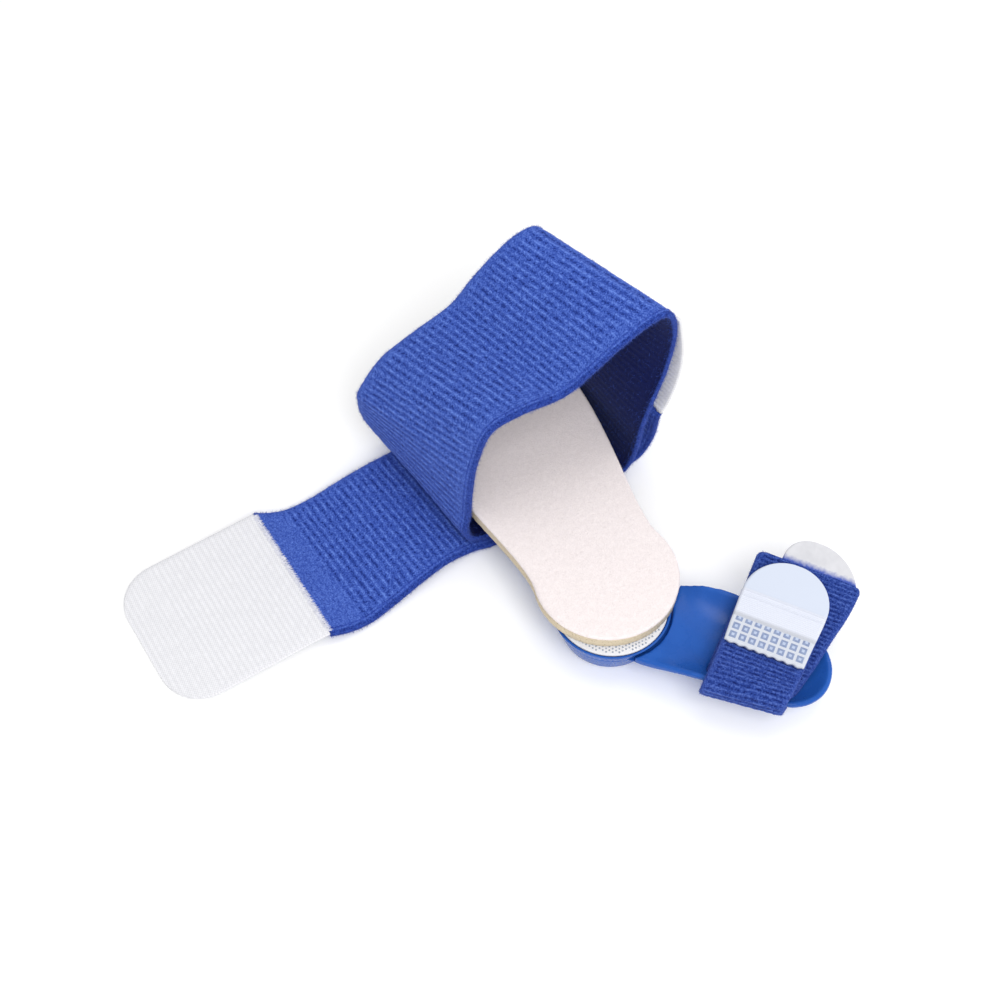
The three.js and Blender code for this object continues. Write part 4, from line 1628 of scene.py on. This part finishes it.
    def free_tab(self, sole: Course) -> None:
        """The white tab on the end of the tail, with threads over the knit.

        Args:
            sole: the band that carries it.
        """
        flush = (self.thick - self.tab_thick) / 2.0
        end, half = sole.centres[0] + np.array([0.0, 0.0, flush]), sole.halves[0]
        drop_by = end[2] - self.tab_thick / 2.0
        lean = self.tab_length * math.sin(math.radians(self.tab_turn))
        ahead = unit(np.array([-self.tab_length, -lean, -drop_by]))
        start = end + ahead * 0.05
        line = np.array([start, start + ahead * self.tab_length])
        course = Tongue(line, half, self.width, self.tab_corner).course(self.tab_spacing)
        piece = Band(self.tab_thick, self.tab_steps, hem=1.2).skin("tail_tab", course)
        rib_tree(self.palette.tape, 1.75 * MM, 0.22 * MM, 1.1 * MM, 0.12, 3.0).apply(piece)
        keep(piece, Body.ARM, Slot.HOOK, "free_tab")
        profile = [(0.0, -1.0), (0.09, -0.8), (0.09, 0.0), (0.04, 0.7), (0.0, 1.0)]
        thread = turned("thread_shape", profile, 4, along_x=True)
        rng = np.random.default_rng(self.thread_seed)
        edge = self.width / 2.0 - 0.5
        spots = []
        for across in np.arange(-edge, edge, self.thread_pitch):
            start_at = float(rng.uniform(-0.5, 0.25))
            place, forward, up = sole.spot(start_at, float(across), self.thick / 2.0 - 0.12)
            side = np.cross(up, forward)
            lies = unit(forward + side * rng.uniform(-0.5, 0.5) + up * rng.uniform(0.0, 0.12))
            spots.append((place, lies, up))
        keep(studded("tail_threads", spots, thread, self.palette.white_yarn), Body.ARM, Slot.HOOK)

    def closure_tab(self) -> None:
        """The tab that closes the outer layer on the loop's side."""

        def read(steps: Array) -> tuple[Array, Array]:
            """Reads the tab's rows.

            Args:
                steps: row numbers.
            Returns:
                Middles and half widths.
            """
            across, up, turn = walk(self.closure_rows, steps).T
            rise = self.thick / 2.0 + up * self.rise
            return self.place(across * self.span, self.closure_back, rise), half_width(self.width, turn)

        def torn(arc: Array, across: Array) -> Array:
            """The jagged line where the tab meets the knit."""
            return -0.35 * (arc < 0.3) * (1.0 + np.sin(across * 2.9) * np.sin(across * 1.3))

        course = Course.even(read, len(self.closure_rows) - 1, self.tab_spacing)
        piece = Band(self.tab_thick, self.tab_steps, hem=0.8, slide=torn).skin("closure_tape", course)
        rib_tree(self.palette.grey_tape, 1.5 * MM, 0.16 * MM, 1.0 * MM, 0.12, 9.0).apply(piece)
        keep(piece, Body.ARM, Slot.GREY_HOOK, "closure_tab")


# The toe's body


@dataclass
class ToeShell:
    """The moulded trough with the lower disc of the hinge, in its own axes before it is turned."""

    palette: Palette
    turn: float = -50.0
    reach: float = 66.4
    width: float = 31.2
    height: float = 15.3
    lip: float = 1.7
    lip_width: float = 1.1
    root_depth: float = 1.0
    root_to: float = 0.6
    root_run: float = 0.3
    end_radius: float = 12.7
    tip_rim: float = 0.78
    hollow_power: float = 2.6
    keel_power: float = 2.2
    hub_height: float = 8.8
    hub_sides: tuple = ((0, 0), (6, 0), (13.2, 0), (13.8, 0.16), (14.24, 0.6), (14.4, 1.2))
    head_room: float = 18.2
    head_angle: float = 10.0
    bore: float = 3.3
    slot_halves: tuple = (12.2, 9.36, 1.3)
    slot_turn: float = 5.0
    voxel: float = 0.4
    shrink: float = 1.4
    # along, near and far fullness, near and far rim, floor and keel
    rows: tuple = (
        (0.14, 0.3, 0.2, 0.78, 0.8, 0.77, 0.1), (0.24, 0.33, 0.3, 0.79, 0.82, 0.765, 0.11),
        (0.33, 0.36, 0.57, 0.82, 0.83, 0.74, 0.17), (0.42, 0.4, 0.87, 0.89, 0.94, 0.68, 0.26),
        (0.52, 0.45, 1.0, 0.96, 1.0, 0.615, 0.34), (0.62, 0.45, 1.0, 1.0, 1.0, 0.565, 0.37),
        (0.76, 0.38, 0.84, 0.985, 0.985, 0.535, 0.37), (0.9, 0.15, 0.4, 0.93, 0.93, 0.53, 0.36),
        (1.0, 0.0, 0.0, 0.875, 0.875, 0.53, 0.36),
    )

    def make(self) -> None:
        """Builds the shell from its trough, hub and cuts."""
        shell = self.trough()
        top, turn = self.hub_height, math.radians(self.head_angle)
        hub = turned("hub_shape", [*self.hub_sides, (16.6, top), (6, top), (0, top)], 144)
        room = turned("room_shape", [(0, top), (self.head_room, top), (self.head_room, 24.0), (0, 24.0)], 144)
        bore = turned("bore_shape", [(0, 2.0), (self.bore, 2.0), (self.bore, 9.5), (0, 9.5)], 48)
        edge_x, edge_y = self.head_room * math.cos(turn), self.head_room * math.sin(turn)
        span = (edge_x - self.reach, edge_x - self.shrink)
        far = self.block("far_shape", span, (edge_y, 40.0), (-30.0, 30.0), 0.0, (0, 0, 0))
        slot_at = (0.679 * self.reach, -0.4 * self.width, 0.675 * self.height)
        sides = [(-half, half) for half in self.slot_halves]
        slot = self.block("slot_shape", *sides, self.slot_turn, slot_at)
        steps = (("room", room, "DIFFERENCE"), ("far", far, "DIFFERENCE"), ("hub", hub, "UNION"),
                 ("bore", bore, "DIFFERENCE"), ("slot", slot, "DIFFERENCE"))
        for label, cutter, how in steps:
            cutter.hide_render = True
            step = shell.modifiers.new(label, "BOOLEAN")
            step.object, step.operation, step.solver = cutter, how, "EXACT"
        remesh = shell.modifiers.new("remesh", "REMESH")
        remesh.mode, remesh.voxel_size = "VOXEL", self.voxel * MM
        smooth = shell.modifiers.new("smooth", "SMOOTH")
        smooth.factor, smooth.iterations = 0.5, 12
        plain(shell)
        drop(hub, room, bore, far, slot)
        count = len(shell.data.vertices)
        points = np.empty(count * 3)
        shell.data.vertices.foreach_get("co", points)
        shell.data.vertices.foreach_set("co", turn_toe(points.reshape(-1, 3), self.turn).ravel())
        shell.data.polygons.foreach_set("use_smooth", [True] * len(shell.data.polygons))
        shell.data.update()
        keep(dress(shell, self.palette.plastic), Body.TOE, Slot.PLASTIC, "toe_shell")

    def block(self, name: str, xs: tuple, ys: tuple, zs: tuple, turn: float, at: Triple) -> Piece:
        """A box for cutting, turned round Z and then moved.

        Args:
            name: the box's name.
            xs: its ends along X.
            ys: its ends along Y.
            zs: its ends along Z.
            turn: its turn in degrees.
            at: how far it is moved.
        Returns:
            The box.
        """
        corners = np.array([(x, y, z) for x in xs for y in ys for z in zs])
        faces = [(0, 1, 3, 2), (4, 6, 7, 5), (0, 4, 5, 1), (2, 3, 7, 6), (0, 2, 6, 4), (1, 5, 7, 3)]
        piece = build(name, turn_toe(corners, turn) + np.array(at), faces)
        piece.data.polygons.foreach_set("use_smooth", [False] * 6)
        return piece

    def trough(self) -> Piece:
        """Skins the trough from its sections.

        Returns:
            The open trough, before its cuts.
        """
        centre = self.reach - self.end_radius
        straight = np.linspace(self.rows[0][0] * centre, centre, 70)
        bow = centre + self.end_radius * np.sin(np.radians(np.linspace(3.0, 87.0, 29)))
        places = np.concatenate([straight, bow])
        table = np.array(self.rows)
        read = cubic(table[:, 0], table[:, 1:], np.minimum(places / centre, 1.0))
        half = 26
        k = np.arange(-half, half + 1)
        near = k < 0
        past = np.maximum(places - centre, 0.0)[:, None]
        closing = np.sqrt(1.0 - (past / self.end_radius) ** 2)
        full = np.where(near, read[:, :1], read[:, 1:2])
        wall = self.end_radius + (self.width / 2.0 - self.end_radius) * full
        share = np.where(near, read[:, 2:3], read[:, 3:4])
        rim = self.height * (self.tip_rim + (share - self.tip_rim) * closing)
        across = np.sin(k / half * math.pi / 2.0) * wall * closing
        out = np.hypot(past, across)
        hollow = np.minimum(out / (wall - self.lip_width), 1.0) ** self.hollow_power
        curl = np.minimum(out / wall, 1.0) ** self.keel_power
        floor, keel = self.height * read[:, 4:5], self.height * read[:, 5:6]
        top = floor + (rim - floor) * hollow
        root = np.clip((self.root_to - places / centre) / self.root_run, 0.0, 1.0)[:, None] * near
        bottom = keel + (rim - self.lip - self.root_depth * root - keel) * curl
        along = np.broadcast_to(places[:, None], across.shape)
        upper = np.stack([along, across, top], -1)
        lower = np.stack([along, across, bottom], -1)
        ring = np.concatenate([upper, lower[:, ::-1]], axis=1)
        size, count = ring.shape[1], len(places)
        faces = quads(count, size)
        strip = [(j, j + 1, size - 2 - j, size - 1 - j) for j in range(size // 2 - 1)]
        faces += [tuple(reversed(f)) for f in strip]
        faces += [tuple((count - 1) * size + j for j in f) for f in strip]
        return build("shell", ring.reshape(-1, 3), faces)


@dataclass
class ToeStrap:
    """The narrow knitted strap through the shell's near wall, and its two tabs."""

    palette: Palette
    shell: ToeShell
    width: float = 25.2
    thick: float = 2.0
    tab_thick: float = 1.2
    tab_width: float = 24.2
    tab_side: float = 0.4
    front_base: float = 0.94
    back_share: float = 0.9
    sewn: float = 1.5
    rib_pitch: float = 1.35
    rib_depth: float = 0.36
    corner: float = 2.2
    link: float = 2.3
    waver: float = 0.7
    brush: Nap = Nap(0.1, 0.038, 0.75, 6.0e5, 1.15)
    front_flat: float = 0.0286
    area_share: float = 0.8
    nap_from: float = 1.5
    nap_fade: float = 1.7
    weld_rows: tuple = (2.2, 5.0, 7.8)
    weld_count: int = 8
    weld_pitch: float = 2.84
    step_at: float = 7.9
    band_at: float = 9.4
    ridge_at: tuple = (14.4, 16.0)
    # across, up and along as shares of half the width, the height and the reach; turn; width share
    rows: tuple = (
        (1.76, 1.443, 0.764, -3, 1.2), (1.35, 1.265, 0.755, -3, 1.18), (1.05, 1.165, 0.746, -2, 1.15),
        (0.86, 1.11, 0.738, -1, 1.13), (0.64, 1.01, 0.728, 0, 1.11), (0.19, 0.85, 0.71, 1, 1.07),
        (-0.32, 0.71, 0.69, 3, 1.01), (-0.6, 0.68, 0.68, 5, 0.96), (-0.8, 0.68, 0.676, 5, 0.93),
        (-0.95, 0.727, 0.672, 5, 0.91), (-1.01, 0.86, 0.672, 5, 0.9), (-1.0, 1.0, 0.674, 5, 0.9),
        (-0.92, 1.105, 0.678, 4, 0.9), (-0.74, 1.148, 0.684, 2, 0.905), (-0.43, 1.159, 0.69, -1, 0.92),
        (-0.06, 1.17, 0.695, -3, 0.93), (0.32, 1.222, 0.699, -2, 0.94), (0.58, 1.288, 0.702, -2, 0.94),
    )
    front_rows: tuple = (
        (-0.19, 1.303, 0.697), (0.19, 1.338, 0.7), (0.58, 1.415, 0.706), (1.0, 1.5, 0.711),
        (1.61, 1.62, 0.717),
    )
    back_rows: tuple = ((1.66, 1.425, 0.809), (2.03, 1.52, 0.788), (2.26, 1.57, 0.773))

    def make(self) -> None:
        """Builds the strap, its nap and both tabs."""
        course = Course.even(self.read, len(self.rows) - 1, self.rib_pitch / 5.0)
        piece = Band(self.thick, 40, hem=1.6).skin("toe_knit", course, self.shell.turn)
        pitch, depth = self.rib_pitch * MM, self.rib_depth * MM
        rib_tree(self.palette.narrow_knit, pitch, depth, self.link * MM, self.waver, 13.0).apply(piece)
        nap = self.brush.make("toe_nap", piece, self.palette.blue_yarn, 31)
        keep(piece, Body.TOE, Slot.KNIT, "toe_strap")
        keep(nap, Body.TOE, Slot.KNIT)
        self.front_tab()
        self.back_tab()

    def spot(self, rows: Array) -> Array:
        """Places points from their shares of the shell's sizes.

        Args:
            rows: shares of half the width across, of the height and of the reach.
        Returns:
            The places.
        """
        across, up, along = rows.T
        shell = self.shell
        return np.stack([along * shell.reach, across * shell.width / 2.0, up * shell.height], -1)

    def read(self, steps: Array) -> tuple[Array, Array]:
        """Reads the strap's rows, with its free corners rounded.

        Args:
            steps: row numbers.
        Returns:
            Middles and half widths.
        """
        values = walk(self.rows, steps)
        places = self.spot(values[:, :3])
        chord = np.linalg.norm(self.spot(np.array([self.rows[0][:3]])) - places, axis=1)
        into = np.clip(self.corner - chord, 0.0, self.corner)
        pulled = self.corner - np.sqrt(self.corner**2 - into**2)
        return places, half_width(self.width * values[:, 4] - 2.0 * pulled, values[:, 3] - 90.0)

    def front_tab(self) -> None:
        """The front tab: welded foot, lined band, double ridge and smooth tip."""
        line = self.spot(np.array(self.front_rows))
        side = -half_width(self.tab_width, np.array([-92.0]))[0]
        corner = self.tab_width / 2.0 - self.tab_side
        course = Tongue(line, side, self.tab_width, corner, self.front_base).course(0.16)

        def relief(arc: Array, across: Array) -> Array:
            """The step over the welds and the two ridges.

            Args:
                arc: distances along the tab.
                across: distances from its middle.
            Returns:
                The heights.
            """
            height = 0.2 * np.clip((arc - self.step_at) / 0.3, 0.0, 1.0)
            for place in self.ridge_at:
                height = height + 0.28 * np.exp(-(((arc - place) / 0.32) ** 2))
            return height - 0.15 * np.clip((arc - self.ridge_at[1] - 0.5) / 0.5, 0.0, 1.0)

        def scallop(arc: Array, across: Array) -> Array:
            """The wavy cut of the tab's foot."""
            return 0.2 * np.cos(across * 2.0 * math.pi / self.weld_pitch) * np.clip(1.0 - arc / 1.2, 0.0, 1.0)

        band = Band(self.tab_thick, 72, relief=relief, slide=scallop)
        piece = band.skin("front_tab", course, self.shell.turn)
        film = Film().make(self.step_at * MM, self.band_at * MM, (self.ridge_at[1] + 0.7) * MM)
        keep(dress(piece, film), Body.TOE, Slot.HOOK, "toe_tab_front")
        for name, reach, high, finish in (("weld_squares", 1.42, 0.1, self.palette.weld),
                                          ("weld_cores", 0.6, 0.16, self.palette.weld_core)):
            profile = [(0.0, -0.1), (reach, -0.1), (reach, high * 0.5), (reach * 0.86, high), (0.0, high)]
            shape = turned("weld_shape", profile, 4, 45.0)
            shape.data.polygons.foreach_set("use_smooth", [False] * len(shape.data.polygons))
            spots = []
            for place in self.weld_rows:
                for k in range(self.weld_count):
                    across = (k - (self.weld_count - 1) / 2.0) * self.weld_pitch
                    spots.append(course.spot(place, across, self.tab_thick / 2.0))
            keep(studded(name, spots, shape, finish, self.shell.turn), Body.TOE, Slot.HOOK)

    def back_tab(self) -> None:
        """The back tab on the end of the lower run."""
        line = self.spot(np.array(self.back_rows))
        side = half_width(self.tab_width, np.array([-93.0]))[0]
        width = self.tab_width * self.back_share
        course = Tongue(line, side, width, width / 2.0 - self.tab_side).course(0.25)
        piece = Band(self.tab_thick, 60).skin("back_tab", course, self.shell.turn)
        film = Frosted().make(self.nap_from * MM, self.nap_fade * MM)
        keep(dress(piece, film), Body.TOE, Slot.GREY_HOOK, "toe_tab_back")


# The studio


@dataclass(frozen=True)
class Lamp:
    """One soft area light: where it stands, its size and its power."""

    name: str
    at: Triple
    size: float
    power: float

    def make(self, aim: Vector) -> None:
        """Adds the light, facing a point.

        Args:
            aim: the point.
        """
        data = bpy.data.lights.new(self.name, "AREA")
        data.shape, data.size, data.energy = "SQUARE", self.size, self.power
        lamp = bpy.data.objects.new(self.name, data)
        lamp.location = self.at
        lamp.rotation_euler = (aim - Vector(self.at)).to_track_quat("-Z", "Y").to_euler()
        bpy.context.scene.collection.objects.link(lamp)


@dataclass(frozen=True)
class Studio:
    """The camera, the lights and the floor, in metres, with the lens and the floor's drop in millimetres."""

    eye: Triple = (-0.140563, -0.195540, 0.436109)
    aim: Triple = (-0.007602, 0.054522, 0.0)
    lens: float = 59.904
    floor_size: float = 6.0
    floor_drop: float = 0.15
    sky: float = 0.64
    lamps: tuple[Lamp, ...] = (
        Lamp("key_light", (0.15, 0.14, 0.95), 0.5, 1.3),
        Lamp("camera_light", (-0.1, -0.47, 0.74), 0.5, 4.1),
        Lamp("front_light", (-0.05, -0.9, 0.3), 0.5, 0.5),
        Lamp("side_light", (0.75, 0.1, 0.35), 0.4, 0.9),
    )

    def camera(self) -> None:
        """Stands the camera where the photograph was taken from."""
        data = bpy.data.cameras.new("camera")
        data.lens, data.sensor_width = self.lens, 36.0
        data.clip_start, data.clip_end = 0.01, 20.0
        camera = bpy.data.objects.new("camera", data)
        camera.location = self.eye
        camera.rotation_euler = (Vector(self.aim) - Vector(self.eye)).to_track_quat("-Z", "Y").to_euler()
        bpy.context.scene.collection.objects.link(camera)
        bpy.context.scene.camera = camera

    def light(self) -> None:
        """Adds the lamps, the sky and the floor."""
        for lamp in self.lamps:
            lamp.make(Vector(self.aim))
        world = bpy.data.worlds.new("studio")
        world.use_nodes = True
        sky = world.node_tree.nodes["Background"].inputs
        sky["Color"].default_value = WHITE
        sky["Strength"].default_value = self.sky
        bpy.context.scene.world = world
        bpy.context.scene.view_settings.view_transform = "Standard"
        half = self.floor_size / 2.0 / MM
        corners = np.array([(-half, -half, 0), (half, -half, 0), (half, half, 0), (-half, half, 0)])
        corners = corners - [0, 0, self.floor_drop]
        floor = build("floor", corners, [(0, 1, 2, 3)])
        dress(floor, Table().make())


def main() -> None:
    """Builds the studio and the dressed splint."""
    logging.basicConfig(level=logging.INFO, format="%(name)s: %(message)s")
    studio = Studio()
    studio.camera()
    studio.light()
    palette = Palette()
    Arm(palette).make()
    Pad(palette).make()
    MidfootStrap(palette).make()
    shell = ToeShell(palette)
    shell.make()
    ToeStrap(palette, shell).make()


if __name__ == "__main__":
    main()
